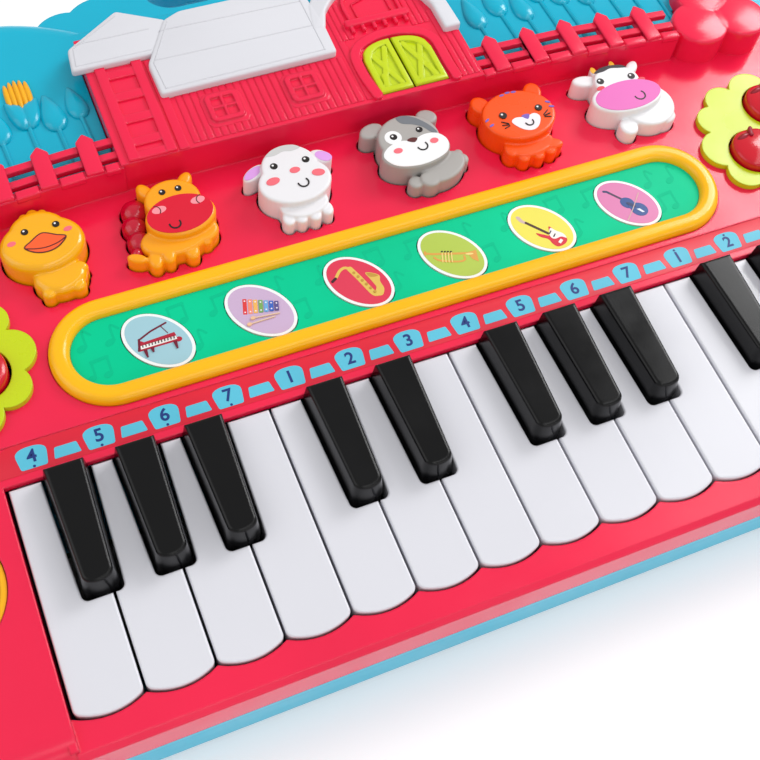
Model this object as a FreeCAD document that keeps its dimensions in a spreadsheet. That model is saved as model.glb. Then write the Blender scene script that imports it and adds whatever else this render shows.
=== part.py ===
import FreeCAD, Part
import math
import os
import Sketcher
from FreeCAD import Placement, Rotation, Vector

# Toy electronic keyboard in the shape of a farmyard. Millimetres, +Z up, +X along the keys to
# the treble end, +Y away from the player. The origin is on the table, under the middle of the toy.

doc = FreeCAD.newDocument("toy_keyboard")
sheet = doc.addObject("Spreadsheet::Sheet", "dims")
NODES = []
CREATED = {}


# ---------------------------------------------------------------- sizes bound to the sheet
class Size:
    """A length that carries its number and the sheet expression that it comes from."""

    def __init__(self, number, text):
        self.number = float(number)
        self.text = text

    def __add__(self, other):
        other = size(other)
        return Size(self.number + other.number, f"({self.text} + {other.text})")

    def __sub__(self, other):
        other = size(other)
        return Size(self.number - other.number, f"({self.text} - {other.text})")

    def __mul__(self, other):
        other = size(other)
        return Size(self.number * other.number, f"({self.text} * {other.text})")

    def __truediv__(self, other):
        other = size(other)
        return Size(self.number / other.number, f"({self.text} / {other.text})")

    def __rsub__(self, other):
        return size(other) - self

    def __neg__(self):
        return self * -1

    __radd__ = __add__
    __rmul__ = __mul__


def size(value):
    """A plain number becomes a Size of its own value."""
    return value if isinstance(value, Size) else Size(value, f"({float(value)})")


def driving(alias, value):
    """One named cell of the sheet."""
    row = len(CREATED) + 1
    CREATED[alias] = value
    sheet.set(f"A{row}", alias)
    sheet.set(f"B{row}", str(value))
    sheet.setAlias(f"B{row}", alias)
    return Size(value, f"dims.{alias}")


# keys
PITCH = driving("key_pitch", 20)
KEY_GAP = driving("key_gap", 0.8)
KEY_TOP = driving("key_top", 34)
KEY_DEEP = driving("key_depth", 9)
KEY_BULGE = driving("key_front_bulge", 2.6)
KEY_FRONT = driving("key_front_corner", -130)
KEY_BACK = driving("key_back", -61.6)
TAIL_BACK = driving("key_tail_back", -41)
TAIL_TOP = driving("key_tail_top", 30)
TAIL_WIDE = driving("white_tail_width", 5)
BLACK_FRONT = driving("black_front", -100.2)
BLACK_WIDE = driving("black_back_width", 13.2)
BLACK_NOSE = driving("black_front_width", 10.4)
BLACK_RISE = driving("black_rise", 7.6)
BLACK_TAIL = driving("black_tail_width", 4.4)
NOTCH_GAP = driving("black_notch_gap", 0.8)
PIVOT_Y = driving("pivot_y", -46)
PIVOT_Z = driving("pivot_z", 27)
ROD_RADIUS = driving("pivot_rod_radius", 1.5)
PLAY = driving("running_play", 0.05)
# case
HALF_WIDE = driving("case_half_width", 197)
FRONT = driving("case_front", -142)
HILL_Y = driving("hill_y", 36)
HILL_R = driving("hill_radius", 80)
SKIN = driving("wall", 2.4)
FOOT = driving("foot_height", 1.6)
PARTING = driving("parting_height", 17)
DECK = driving("deck_height", 35)
LIP = driving("lip_height", 33)
FIELD = driving("field_height", 41)
BARN = driving("barn_height", 48)
FENCE_Y = driving("fence_front", 31)
WELL_HALF = driving("key_well_half_width", 140.6)
WELL_BACK = driving("key_well_back", -60.9)
# buttons
BUTTON_TOP = driving("animal_height", 44)
BUTTON_GAP = driving("button_gap", 0.6)
BUTTON_STEP = driving("animal_spacing", 42.6)
APPLE_R = driving("apple_radius", 9)
PLATE_X = driving("bush_plate_x", 155.5)
PLATE_Y = driving("bush_plate_y", -13.5)
PAD_STEP = driving("instrument_spacing", 33.6)
PANEL_Y = driving("instrument_panel_y", -27)
SPEAKER_X = driving("speaker_x", 167)
SPEAKER_Y = driving("speaker_y", -86)
SPEAKER_R = driving("speaker_radius", 20.5)
doc.recompute()


# ---------------------------------------------------------------- building blocks
def bind(thing, **sizes):
    for name, value in sizes.items():
        thing.setExpression(name, size(value).text)
    return thing


def moved(thing, x=0, y=0, z=0, turn=0, tilt_axis=Vector(0, 0, 1)):
    """Stand the thing at x, y, z after a turn in degrees about tilt_axis."""
    thing.Placement = Placement(Vector(), Rotation(tilt_axis, turn))
    for name, value in (("x", x), ("y", y), ("z", z)):
        thing.setExpression(f".Placement.Base.{name}", size(value).text)
    return thing


def block(x_low, x_high, y_low, y_high, z_low, z_high):
    solid = doc.addObject("Part::Box", "block")
    bind(solid, Length=size(x_high) - x_low, Width=size(y_high) - y_low, Height=size(z_high) - z_low)
    return moved(solid, x_low, y_low, z_low)


def disc(x, y, radius, z_low, z_high):
    solid = bind(doc.addObject("Part::Cylinder", "disc"), Radius=radius, Height=size(z_high) - z_low)
    return moved(solid, x, y, z_low)


def cross_pin(x_low, x_high, y, z, radius):
    solid = bind(doc.addObject("Part::Cylinder", "pin"), Radius=radius, Height=size(x_high) - x_low)
    return moved(solid, x_low, y, z, 90, Vector(0, 1, 0))


def dome(x, y, z, radius, rise):
    """Upper half of an ellipsoid."""
    solid = doc.addObject("Part::Ellipsoid", "dome")
    bind(solid, Radius1=rise, Radius2=radius, Radius3=radius)
    solid.Angle1 = 0
    return moved(solid, x, y, z)


def oval(x, y, long_radius, short_radius, turn, z_low, z_high):
    ring = doc.addObject("Part::Ellipse", "oval")
    bind(ring, MajorRadius=long_radius, MinorRadius=short_radius)
    return prism(moved(ring, x, y, z_low, turn), size(z_high) - z_low)


def prism(profile, rise):
    solid = doc.addObject("Part::Extrusion", "prism")
    solid.Base = profile
    solid.DirMode = "Custom"
    solid.Dir = Vector(0, 0, 1)
    solid.Solid = True
    return bind(solid, LengthFwd=rise)


def constrain(sketch, corners):
    """Closed outline through the corners, anticlockwise; a corner's third entry bulges the edge
    that follows it outwards by that height."""
    count = len(corners)
    for index, corner in enumerate(corners):
        start, after = corner, corners[(index + 1) % count]
        ends = [Vector(size(p[0]).number, size(p[1]).number) for p in (start, after)]
        if len(start) == 3:
            along = (ends[1] - ends[0]).normalize()
            middle = (ends[0] + ends[1]) / 2 + Vector(along.y, -along.x) * size(start[2]).number
            sketch.addGeometry(Part.Arc(ends[0], middle, ends[1]))
        else:
            sketch.addGeometry(Part.LineSegment(ends[0], ends[1]))
    for index, corner in enumerate(corners):
        sketch.addConstraint(Sketcher.Constraint("Coincident", index, 2, (index + 1) % count, 1))
        for kind, value in zip(("DistanceX", "DistanceY"), corner):
            number = sketch.addConstraint(
                Sketcher.Constraint(kind, -1, 1, index, 1, size(value).number))
            sketch.setExpression(f"Constraints[{number}]", size(value).text)
        if len(corner) == 3:
            chord = size(corners[(index + 1) % count][0]) - corner[0]
            radius = chord * chord / (corner[2] * 8) + corner[2] / 2
            number = sketch.addConstraint(Sketcher.Constraint("Radius", index, radius.number))
            sketch.setExpression(f"Constraints[{number}]", radius.text)
    return sketch


def slab(corners, z_low, z_high):
    """A flat plate with the outline of the corners."""
    sketch = constrain(doc.addObject("Sketcher::SketchObject", "outline"), corners)
    moved(sketch, 0, 0, z_low)
    return prism(sketch, size(z_high) - z_low)


def fused(*solids):
    if len(solids) == 1:
        return solids[0]
    joined = doc.addObject("Part::MultiFuse", "fused")
    joined.Shapes = list(solids)
    joined.Refine = True
    return joined


def cut(base, *tools):
    carved = doc.addObject("Part::Cut", "carved")
    carved.Base = base
    carved.Tool = fused(*tools)
    carved.Refine = True
    return carved


def common(first, second):
    shared = doc.addObject("Part::Common", "shared")
    shared.Base, shared.Tool = first, second
    return shared


def edged(kind, base, reach, wanted):
    """Fillet or chamfer the edges of the base that pass the wanted test."""
    doc.recompute()
    smooth = doc.addObject(kind, "edged")
    smooth.Base = base
    smooth.Edges = [(number, reach, reach)
                    for number, edge in enumerate(base.Shape.Edges, 1) if wanted(edge)]
    return smooth


def rounded(base, radius, wanted):
    return edged("Part::Fillet", base, radius, wanted)


def level(edge, height, slack=0.01):
    """Whether the whole edge lies at one height."""
    box = edge.BoundBox
    return abs(box.ZMin - height) < slack and abs(box.ZMax - height) < slack


def node(name, thing):
    thing.Label = name
    NODES.append(thing)
    return thing


# ---------------------------------------------------------------- keys
WHITE_COUNT = 14
# boundary after which white key each black key stands, and its shift in pitches
BLACK_KEYS = {"f_sharp_low": (1, -0.14), "g_sharp_low": (2, -0.09), "a_sharp_low": (3, -0.05),
              "c_sharp": (5, -0.13), "d_sharp": (6, 0.0), "f_sharp": (8, -0.14),
              "g_sharp": (9, -0.09), "a_sharp": (10, -0.05), "c_sharp_high": (12, -0.13),
              "d_sharp_high": (13, 0.0)}
WHITE_NAMES = ["f_low", "g_low", "a_low", "b_low", "c", "d", "e", "f", "g", "a", "b",
               "c_high", "d_high", "e_high"]
KEY_EDGE = 0.7
WHITE_CORNER = 2.4
NOTCH_CORNER = 2.0
KEY_WALL, KEY_SKIN = 1.6, 2
PLUNGER_Y = {"white": -110.0, "black": -84.0}
PLUNGER_HALF = 2.0
PLUNGER_LOW = 20.0


def black_x(shift):
    boundary, offset = shift
    return PITCH * (boundary - WHITE_COUNT / 2 + offset)


def new_body(name):
    return doc.addObject("PartDesign::Body", name)


def body_sketch(body, corners, height):
    sketch = body.newObject("Sketcher::SketchObject", "profile")
    plane = next(f for f in body.Origin.OriginFeatures if f.Role == "XY_Plane")
    sketch.AttachmentSupport = [(plane, "")]
    sketch.MapMode = "FlatFace"
    sketch.setExpression(".AttachmentOffset.Base.z", size(height).text)
    return constrain(sketch, corners)


def pad(body, corners, z_low, z_high):
    feature = body.newObject("PartDesign::Pad", "pad")
    feature.Profile = body_sketch(body, corners, z_low)
    return bind(feature, Length=size(z_high) - z_low)


def pocket(body, corners, z_low, z_high):
    """Cut from z_high down to z_low, and make sure that it removed material."""
    doc.recompute()
    before = body.Shape.Volume
    feature = body.newObject("PartDesign::Pocket", "pocket")
    feature.Profile = body_sketch(body, corners, z_high)
    bind(feature, Length=size(z_high) - z_low)
    doc.recompute()
    if body.Shape.Volume >= before - 1e-6:
        raise RuntimeError(f"pocket cut nothing in {body.Name}")
    return feature


def soften(body, radius, wanted):
    doc.recompute()
    last = body.Tip
    names = [f"Edge{n}" for n, edge in enumerate(last.Shape.Edges, 1) if wanted(edge)]
    feature = body.newObject("PartDesign::Fillet", "soft_edges")
    feature.Base = (last, names)
    feature.Radius = radius
    return feature


def rectangle(x_low, x_high, y_low, y_high):
    return [(x_low, y_low), (x_high, y_low), (x_high, y_high), (x_low, y_high)]


def upright_at(edge, spots, slack=0.05):
    """Whether a vertical edge stands at one of the spots."""
    box = edge.BoundBox
    if box.ZLength < 1 or box.XLength > slack or box.YLength > slack:
        return False
    return any(abs(box.XMin - x) < slack and abs(box.YMin - y) < slack for x, y in spots)


def notch_corners(x, side, gap):
    """Outline of the black key's space, seen from the white key on the given side of it."""
    nose = BLACK_NOSE / 2 + gap
    back = BLACK_WIDE / 2 + gap
    front, rear = BLACK_FRONT - gap, KEY_BACK + 1
    far = PITCH * 0.5
    if side < 0:
        return [(x - nose, front), (x + far, front), (x + far, rear), (x - back, rear)]
    return [(x - far, front), (x + nose, front), (x + back, rear), (x - far, rear)]


def white_key(index):
    """Hollow key: bulged front, notches for the black keys, narrow tail with the pivot hole."""
    name = f"white_key_{WHITE_NAMES[index]}"
    left = PITCH * (index - WHITE_COUNT / 2) + KEY_GAP / 2
    right = left + PITCH - KEY_GAP
    middle = PITCH * (index - WHITE_COUNT / 2 + 0.5)
    low = KEY_TOP - KEY_DEEP
    body = new_body(f"{name}_body")
    pad(body, [(left, KEY_FRONT, KEY_BULGE), (right, KEY_FRONT), (right, KEY_BACK), (left, KEY_BACK)],
        low, KEY_TOP)
    spots = [(left.number, KEY_FRONT.number), (right.number, KEY_FRONT.number)]
    soften(body, WHITE_CORNER, lambda edge: upright_at(edge, spots))
    inner_left, inner_right = left + KEY_WALL, right - KEY_WALL
    for shift in BLACK_KEYS.values():
        x = black_x(shift)
        for side, boundary in ((-1, index + 1), (1, index)):
            if shift[0] == boundary:
                pocket(body, notch_corners(x, side, NOTCH_GAP), low, KEY_TOP)
                spot = x.number + side * (BLACK_NOSE.number / 2 + NOTCH_GAP.number)
                corner = (spot, BLACK_FRONT.number - NOTCH_GAP.number)
                soften(body, NOTCH_CORNER, lambda edge, c=corner: upright_at(edge, [c]))
                reach = x + side * (BLACK_WIDE / 2 + NOTCH_GAP + KEY_WALL)
                if side < 0:
                    inner_right = reach
                else:
                    inner_left = reach
    soften(body, KEY_EDGE, lambda edge: level(edge, KEY_TOP.number))
    ceiling = KEY_TOP - KEY_SKIN
    pocket(body, rectangle(left + KEY_WALL, right - KEY_WALL, KEY_FRONT + KEY_SKIN, BLACK_FRONT - 3),
           low, ceiling)
    pocket(body, rectangle(inner_left, inner_right, BLACK_FRONT - 3 + KEY_WALL, KEY_BACK - KEY_WALL),
           low, ceiling)
    tail = (inner_left + inner_right) / 2
    pad(body, rectangle(tail - TAIL_WIDE / 2, tail + TAIL_WIDE / 2, KEY_BACK - KEY_WALL, TAIL_BACK),
        PIVOT_Z - 3, TAIL_TOP)
    pad(body, rectangle(middle - PLUNGER_HALF, middle + PLUNGER_HALF,
                        PLUNGER_Y["white"] - PLUNGER_HALF, PLUNGER_Y["white"] + PLUNGER_HALF),
        PLUNGER_LOW, KEY_TOP - 1)
    return pivoted(name, body, tail, TAIL_WIDE)


def pivoted(name, body, middle, width):
    hole = cross_pin(middle - width, middle + width, PIVOT_Y, PIVOT_Z, ROD_RADIUS + PLAY)
    return node(name, cut(body, hole))


def black_key(name, shift):
    """Raised key that narrows to a rounded nose and slopes in towards its top face."""
    x = black_x(shift)
    low = KEY_TOP - KEY_DEEP

    def outline(inset, nose_back):
        nose, back = BLACK_NOSE / 2 - inset, BLACK_WIDE / 2 - inset
        front = BLACK_FRONT + nose_back
        return [(x - nose, front, 1.6), (x + nose, front), (x + back, KEY_BACK), (x - back, KEY_BACK)]

    body = new_body(f"black_key_{name}_body")
    pad(body, outline(0, 1.6), low, KEY_TOP)
    loft = body.newObject("PartDesign::AdditiveLoft", "crown")
    loft.Profile = body_sketch(body, outline(0, 1.6), KEY_TOP)
    loft.Sections = [body_sketch(body, outline(0.9, 2.6), KEY_TOP + BLACK_RISE)]
    loft.Ruled = True
    pad(body, rectangle(x - BLACK_TAIL / 2, x + BLACK_TAIL / 2, KEY_BACK - 1, TAIL_BACK),
        PIVOT_Z - 3, TAIL_TOP)
    pad(body, rectangle(x - PLUNGER_HALF, x + PLUNGER_HALF,
                        PLUNGER_Y["black"] - PLUNGER_HALF, PLUNGER_Y["black"] + PLUNGER_HALF),
        PLUNGER_LOW, KEY_TOP)
    top = (KEY_TOP + BLACK_RISE).number
    noses = [(x - BLACK_NOSE / 2).number, (x + BLACK_NOSE / 2).number]

    def at_nose(edge):
        box = edge.BoundBox
        near = any(abs(box.Center.x - spot) < 1.0 for spot in noses)
        return near and box.ZLength > 5 and box.YMax < BLACK_FRONT.number + 6

    soften(body, 3.0, at_nose)
    soften(body, 1.2, lambda edge: level(edge, top))
    return pivoted(f"black_key_{name}", body, x, BLACK_TAIL)


for number in range(WHITE_COUNT):
    white_key(number)
for title, place in BLACK_KEYS.items():
    black_key(title, place)
# ---------------------------------------------------------------- shared layout of the case
CORNER_R = 38
EDGE_R = 9
EDGE_INSET = 7.5
CLOUD_TOP = 37
CLOUD_LOBES = [(76.5, 100.5, 13), (62, 101, 16.5), (32, 111, 30), (0, 114, 28)]
SEAM_Y = FENCE_Y + 4
BACK_Y = 98
GRIP_HALF, GRIP_FRONT, GRIP_BACK = 46, 104.5, 125.5
FIT = 0.3
SCREW_R = 1.4
SCREW_TOP = 24
HEAD_R = 3
HEAD_SEAT = FOOT + 2.6
SCREWS_DECK = [(184, -40), (150, -127)]
SCREWS_BARN = [(34, 60)]
SCREWS_HILL = [(158, 84)]
SCREWS_HANDLE = [(0, 134)]
POST_R = 3.6


def both_sides(spots):
    """The spots and their mirror images; one on the middle line stays single."""
    return [(side * x, *rest) for x, *rest in spots for side in ((1, -1) if x else (1,))]


ALL_SCREWS = both_sides(SCREWS_DECK + SCREWS_BARN + SCREWS_HILL + SCREWS_HANDLE)


def discs(spots, radius, z_low, z_high):
    return [disc(x, y, radius, z_low, z_high) for x, y in spots]


def farmyard(inset, z_low, z_high):
    """Footprint of the toy without its cloud: rounded front corners and a round hill each side."""
    wide, side = HALF_WIDE - inset, HALF_WIDE - CORNER_R
    hill_x = HALF_WIDE - HILL_R
    pieces = [block(-side, side, FRONT + inset, HILL_Y, z_low, z_high),
              block(-wide, wide, FRONT + CORNER_R, HILL_Y, z_low, z_high),
              block(-hill_x, hill_x, 0, size(BACK_Y) - inset, z_low, z_high)]
    for sign in (-1, 1):
        pieces.append(disc(side * sign, FRONT + CORNER_R, size(CORNER_R) - inset, z_low, z_high))
        pieces.append(disc(hill_x * sign, HILL_Y, HILL_R - inset, z_low, z_high))
    return fused(*pieces)


def cloud(inset, z_low, z_high):
    """Footprint of the cloud whose back edge is the carrying handle."""
    return fused(*(disc(x, y, size(radius) - inset, z_low, z_high)
                   for x, y, radius in both_sides(CLOUD_LOBES)))


def stadium(x_half, y, radius, z_low, z_high):
    """Round-ended bar along X, x_half from its middle to each tip."""
    straight = size(x_half) - radius
    return fused(block(-straight, straight, size(y) - radius, size(y) + radius, z_low, z_high),
                 disc(-straight, y, radius, z_low, z_high), disc(straight, y, radius, z_low, z_high))


def grip(extra, z_low, z_high):
    """The space for the fingers behind the handle, with extra all round."""
    radius = (GRIP_BACK - GRIP_FRONT) / 2
    return stadium(size(GRIP_HALF) + extra, (GRIP_FRONT + GRIP_BACK) / 2, size(radius) + extra,
                   z_low, z_high)


def behind_seam(gap, z_low, z_high):
    return block(-HALF_WIDE - 1, HALF_WIDE + 1, SEAM_Y + gap, -FRONT + 1, z_low, z_high)


def before_seam(gap, z_low, z_high):
    return block(-HALF_WIDE - 1, HALF_WIDE + 1, FRONT - 1, SEAM_Y - gap, z_low, z_high)


# ---------------------------------------------------------------- blue lower case and battery bay
BAY = (-104, -46, 44, 92)
BAY_TOP = 16.8
BAY_WALL = 1.6
DOOR_THICK = 1.4
KEY_BOARD = (-139, 139, -118, -76)
KEY_BOARD_LOW, BOARD_THICK = 9, 1.6
KEY_BOARD_POSTS = [(134, -97), (67, -97), (0, -97)]


def grown(box, extra):
    x_low, x_high, y_low, y_high = box
    return x_low - extra, x_high + extra, y_low - extra, y_high + extra


def lower_case():
    floor = FOOT + SKIN
    outer = fused(farmyard(0, FOOT, PARTING), cloud(0, FOOT, PARTING))
    inner = fused(farmyard(SKIN, floor, PARTING + 1), cloud(SKIN, floor, PARTING + 1))
    tray = cut(outer, cut(inner, grip(SKIN, FOOT, PARTING + 2)))
    posts = discs(ALL_SCREWS, POST_R + 0.6, FOOT, PARTING)
    posts += discs(both_sides(KEY_BOARD_POSTS), 3, FOOT, KEY_BOARD_LOW)
    bay = block(*grown(BAY, BAY_WALL), FOOT, BAY_TOP)
    room = [block(*BAY, floor, BAY_TOP + 1), block(*grown(BAY, -1.5), FOOT - 1, floor + 1),
            block(*grown(BAY, -0.2), FOOT - 1, FOOT + DOOR_THICK)]
    holes = discs(ALL_SCREWS, SCREW_R + 0.4, FOOT - 1, PARTING + 1)
    holes += discs(ALL_SCREWS, HEAD_R + FIT, FOOT - 1, HEAD_SEAT)
    solid = fused(tray, *posts, bay)
    return node("bottom_case", cut(solid, grip(0, FOOT - 1, PARTING + 1), *room, *holes))


def battery_door():
    panel = block(*grown(BAY, -0.45), FOOT, FOOT + DOOR_THICK)
    grooves = [block(-83 + 4 * i, -81.4 + 4 * i, 50, 62, FOOT - 1, FOOT + 0.5) for i in range(4)]
    return node("battery_door", cut(panel, *grooves))


CELL_R, CELL_LONG, CELL_STEP = 7.1, 49.2, 15.2


def batteries():
    """Three AA cells side by side, alternately turned."""
    cells = []
    for i in range(3):
        y = (BAY[2] + BAY[3]) / 2 + CELL_STEP * (i - 1)
        z = FOOT + SKIN + CELL_R + 0.2
        x = (BAY[0] + BAY[1]) / 2 - CELL_LONG / 2
        tip = x + CELL_LONG if i % 2 == 0 else x - 1.3
        cells.append(fused(cross_pin(x, x + CELL_LONG, y, z, CELL_R), cross_pin(tip, tip + 1.3, y, z, 2.7)))
    return node("batteries", fused(*cells))


# ---------------------------------------------------------------- barn
BARN_LEFT, BARN_MID, BARN_GABLE, BARN_RIGHT = -77.5, -53, 1.5, 53.5
ANNEX_BACK, MAIN_BACK = 88, 87
SHOULDER_Y, GABLE_KINK, GABLE_PEAK = 66, (46.5, 82), (27.5, 95.5)
BARN_LOW = 30
ROOF_THICK = 3


def barn(extra, z_low, z_high):
    """Barn from above: ladder annex, long front and gable end, with extra all round."""
    front = FENCE_Y - extra
    (kink_x, kink_y), (peak_x, peak_y) = GABLE_KINK, GABLE_PEAK
    gable = [(BARN_GABLE - extra, front), (BARN_RIGHT + extra, front), (BARN_RIGHT + extra, SHOULDER_Y),
             (kink_x + extra, kink_y + extra * 0.5), (peak_x, peak_y + extra * 1.2),
             (2 * peak_x - kink_x - extra, kink_y + extra * 0.5), (BARN_GABLE - extra, SHOULDER_Y)]
    return fused(slab(gable, z_low, z_high),
                 block(BARN_LEFT - extra, BARN_MID + extra, front, ANNEX_BACK + extra, z_low, z_high),
                 block(BARN_MID - extra, BARN_GABLE + extra, front, MAIN_BACK + extra, z_low, z_high))


DOOR_LEFT, DOOR_RIGHT, DOOR_LOW, DOOR_SHOULDER, DOOR_ARCH = 14.7, 40.6, 33.3, 50, 7
DOOR_SEAT, DOOR_TOP = 46.8, 48.8
BRACE = 2.2


def door_outline(extra, z_low, z_high):
    return slab([(DOOR_LEFT - extra, DOOR_LOW - extra), (DOOR_RIGHT + extra, DOOR_LOW - extra),
                 (DOOR_RIGHT + extra, DOOR_SHOULDER, DOOR_ARCH + extra),
                 (DOOR_LEFT - extra, DOOR_SHOULDER)], z_low, z_high)


def barn_doors():
    """Two closed leaves moulded in one piece, each with an X brace inside its frame."""
    middle = (DOOR_LEFT + DOOR_RIGHT) / 2
    tools = [block(middle - 0.4, middle + 0.4, DOOR_LOW - 1, DOOR_SHOULDER + 9, DOOR_TOP - 1, DOOR_TOP + 1)]
    for left, right in ((DOOR_LEFT, middle), (middle, DOOR_RIGHT)):
        x_low, x_high = left + BRACE, right - BRACE
        y_low, y_high = DOOR_LOW + BRACE, DOOR_SHOULDER - 0.4
        x_mid, y_mid, gap = (x_low + x_high) / 2, (y_low + y_high) / 2, BRACE / 2
        triangles = [[(x_low + gap, y_low), (x_high - gap, y_low), (x_mid, y_mid - 2 * gap)],
                     [(x_high, y_low + 2 * gap), (x_high, y_high - 2 * gap), (x_mid + gap, y_mid)],
                     [(x_high - gap, y_high), (x_low + gap, y_high), (x_mid, y_mid + 2 * gap)],
                     [(x_low, y_high - 2 * gap), (x_low, y_low + 2 * gap), (x_mid - gap, y_mid)]]
        tools += [slab(corners, DOOR_TOP - 0.9, DOOR_TOP + 1) for corners in triangles]
    return node("barn_doors", cut(door_outline(0, DOOR_SEAT, DOOR_TOP), *tools))


def barn_roof():
    """White roof of the annex, of the long side and the trim around the gable, as one moulding."""
    annex = [(-82, 72.5), (-50, 72.5), (-45, 86.5), (-60.5, 95.4), (-80.8, 82.5)]
    main = [(-56.8, 53.7), (6.7, 54.4), (7, 66.3), (5, 89), (-39.7, 88.9), (-46, 86.2), (-57, 68)]
    trim = [(47.7, 53.6), (54.2, 53.6), (53.7, 66.3), (50.5, 77.5), (45.5, 84.5), (27.5, 97.5), (9.5, 84.5),
            (4.5, 77.5), (2, 66.3), (7, 66.3), (9.9, 74), (13.5, 78), (27.5, 89), (41.5, 78), (45.1, 74),
            (47.7, 66.3)]
    top = BARN + ROOF_THICK
    solid = fused(*(slab(corners, BARN, top) for corners in (annex, main, trim)))
    return node("barn_roof", solid)


# ---------------------------------------------------------------- fences and bushes
PICKETS = {-1: [86, 101, 115.5, 129], 1: [61.5, 76.5, 91.5, 106.5, 121.5]}
PICKET_WIDE, PICKET_TALL, PICKET_TIP, FENCE_THICK = 5.8, 14, 3, 3
PICKET_PROUD, PICKET_SET_BACK = 0.9, 0.4
FENCE_DROP = 4.0
FENCE_END = 132
BUSHES = [(144, 31.7, 9.7), (160.5, 30.6, 9.7), (151.5, 44.5, 10)]
BUSH_TOP, BUSH_EDGE = 46.5, 2.2


def fence_y(x):
    """The fence leaves the barn straight, then curves gently towards the player."""
    return FENCE_Y - FENCE_DROP * ((x - BARN_RIGHT) / (FENCE_END - BARN_RIGHT)) ** 2


def fence_bar(side, near, far, z_low, z_high):
    """Bar that follows the fence line, from near to far behind it."""
    ends = (BARN_RIGHT - 1, (BARN_RIGHT + FENCE_END) / 2, FENCE_END)
    if side < 0:
        ends = (-BARN_LEFT - 1, *ends[1:])
    outline = [(side * x, fence_y(x) + near) for x in ends]
    outline += [(side * x, fence_y(x) + far) for x in reversed(ends)]
    return slab(outline[::side], z_low, z_high)


def fence(side):
    """Wall up from the deck, and on it two rails and the pointed pickets, lying flat."""
    pieces = [fence_bar(side, 0, 3, DECK - 2, BARN - PICKET_PROUD)]
    pieces += [fence_bar(side, near, near + 2.6, BARN - FENCE_THICK, BARN - PICKET_PROUD) for near in (5, 11)]
    half = PICKET_WIDE / 2
    for x in PICKETS[side]:
        middle, base = side * x, fence_y(x) + PICKET_SET_BACK
        shoulder = base + PICKET_TALL - PICKET_SET_BACK
        pieces.append(slab([(middle - half, base), (middle + half, base), (middle + half, shoulder),
                            (middle, shoulder + PICKET_TIP), (middle - half, shoulder)],
                           BARN - FENCE_THICK, BARN))
    return pieces


# ---------------------------------------------------------------- buttons
BUTTON_Y = 10.5
FLANGE_LOW, FLANGE_HIGH, FLANGE_EXTRA = 29.8, 32.2, 1.5
# each animal is stepped ovals (x, y, long radius, short radius, turn) about its own middle, by height
HEAD, EAR, BODY, FOOTING = BUTTON_TOP.number, 42, 41, 40.2
ANIMALS = {
    "duck": {HEAD: [(-2.2, 3, 13.4, 10.4, 0), (-2.3, 7.2, 9.6, 8.6, 0)],
             EAR: [(-5.2, 15, 1.7, 1.7, 0), (-2.3, 15.8, 2, 2, 0), (0.7, 15.1, 1.7, 1.7, 0)],
             BODY: [(0, -8.4, 8.5, 6.8, 0), (6.2, -7.4, 3, 2.2, -20)],
             FOOTING: [(-4.8, -13.4, 2.3, 2.3, 0), (4.4, -13.1, 2.6, 2.4, 0)]},
    "pony": {HEAD: [(-0.7, -0.6, 11.6, 8.1, 0), (-1.3, 6.2, 9.3, 8, 0)],
             EAR: [(-8.6, 13.4, 3.6, 2.3, 115), (5, 14, 3.6, 2.3, 50)],
             BODY: [(-4.5, -6.5, 11.5, 6.6, 0), (4.5, -6, 5.5, 5, 0), (-8.6, -12, 3.3, 2.3, 90)],
             FOOTING: [(-13, -12.3, 3.3, 2.4, 90), (-1, -12.3, 3.3, 2.5, 90), (4.6, -9.2, 2.6, 2.3, 90),
                       (-18.2, -10, 3.3, 1.7, -28), (-13.6, 9.4, 4.4, 4.4, 0), (-15.4, 3.4, 4.2, 4, 90),
                       (-15.6, -2.6, 4, 3.8, 90)]},
    "sheep": {HEAD: [(-3.6, 0.6, 12.5, 9.2, 0), (-3.2, 6.4, 9.8, 9.4, 3)],
              EAR: [(-14.9, 9.2, 4.8, 2.3, 28), (8.8, 9.2, 4, 2.6, -38)],
              BODY: [(-3.1, -6.9, 8.5, 5.5, 1)],
              FOOTING: [(-9.9, -10.7, 2.7, 2.1, 88), (-5.7, -11.1, 2.8, 2.2, 91), (-1, -11.5, 2.7, 2.2, 89),
                        (3.6, -10.5, 2.9, 2.1, 92)]},
    "dog": {HEAD: [(-2.6, 0, 12.5, 7.2, 0), (-2.8, 5.6, 11, 10, 0)],
            EAR: [(-13.2, 13.9, 4.6, 3.1, 15), (7.6, 14, 3.8, 3.2, -20)],
            BODY: [(5.5, -7.4, 8.6, 5.2, 22), (-1.4, -10.6, 3.6, 3.4, 0)],
            FOOTING: [(-6.4, -10, 2.6, 2.6, 0), (12.6, -3, 1.7, 1.7, 0), (13.2, -5.6, 2.2, 2, 90)]},
    "tiger": {HEAD: [(-4.2, 3.4, 13.6, 10.9, 0)],
              EAR: [(-14.4, 12.8, 4.2, 3.4, 110), (6.2, 13.1, 4.2, 3.4, 70)],
              BODY: [(-4.4, -7.4, 9, 5.4, 0), (-11.6, -7.4, 3.6, 2.6, 75), (3, -9.6, 4.2, 2.2, -18)],
              FOOTING: [(-8.4, -11.6, 2.2, 2.2, 0), (-3, -12, 2.3, 2.2, 90), (2, -11.4, 2.2, 2.2, 0)]},
    "cow": {HEAD: [(-5.2, -0.7, 13.8, 7.2, -2), (-5.5, 6.4, 8.8, 8, 2)],
            EAR: [(-15.5, 11.6, 5, 2.6, -13), (4.4, 12.6, 3.4, 2, 42), (-10.6, 14.1, 2.6, 1.2, 88),
                  (-2.4, 14.6, 2.4, 1.2, 95)],
            BODY: [(2.1, -4.4, 10.2, 9.6, 0)],
            FOOTING: [(-8.8, -11, 3.7, 3.4, 87), (6.6, -11, 4, 2.8, 12)]},
}
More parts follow.
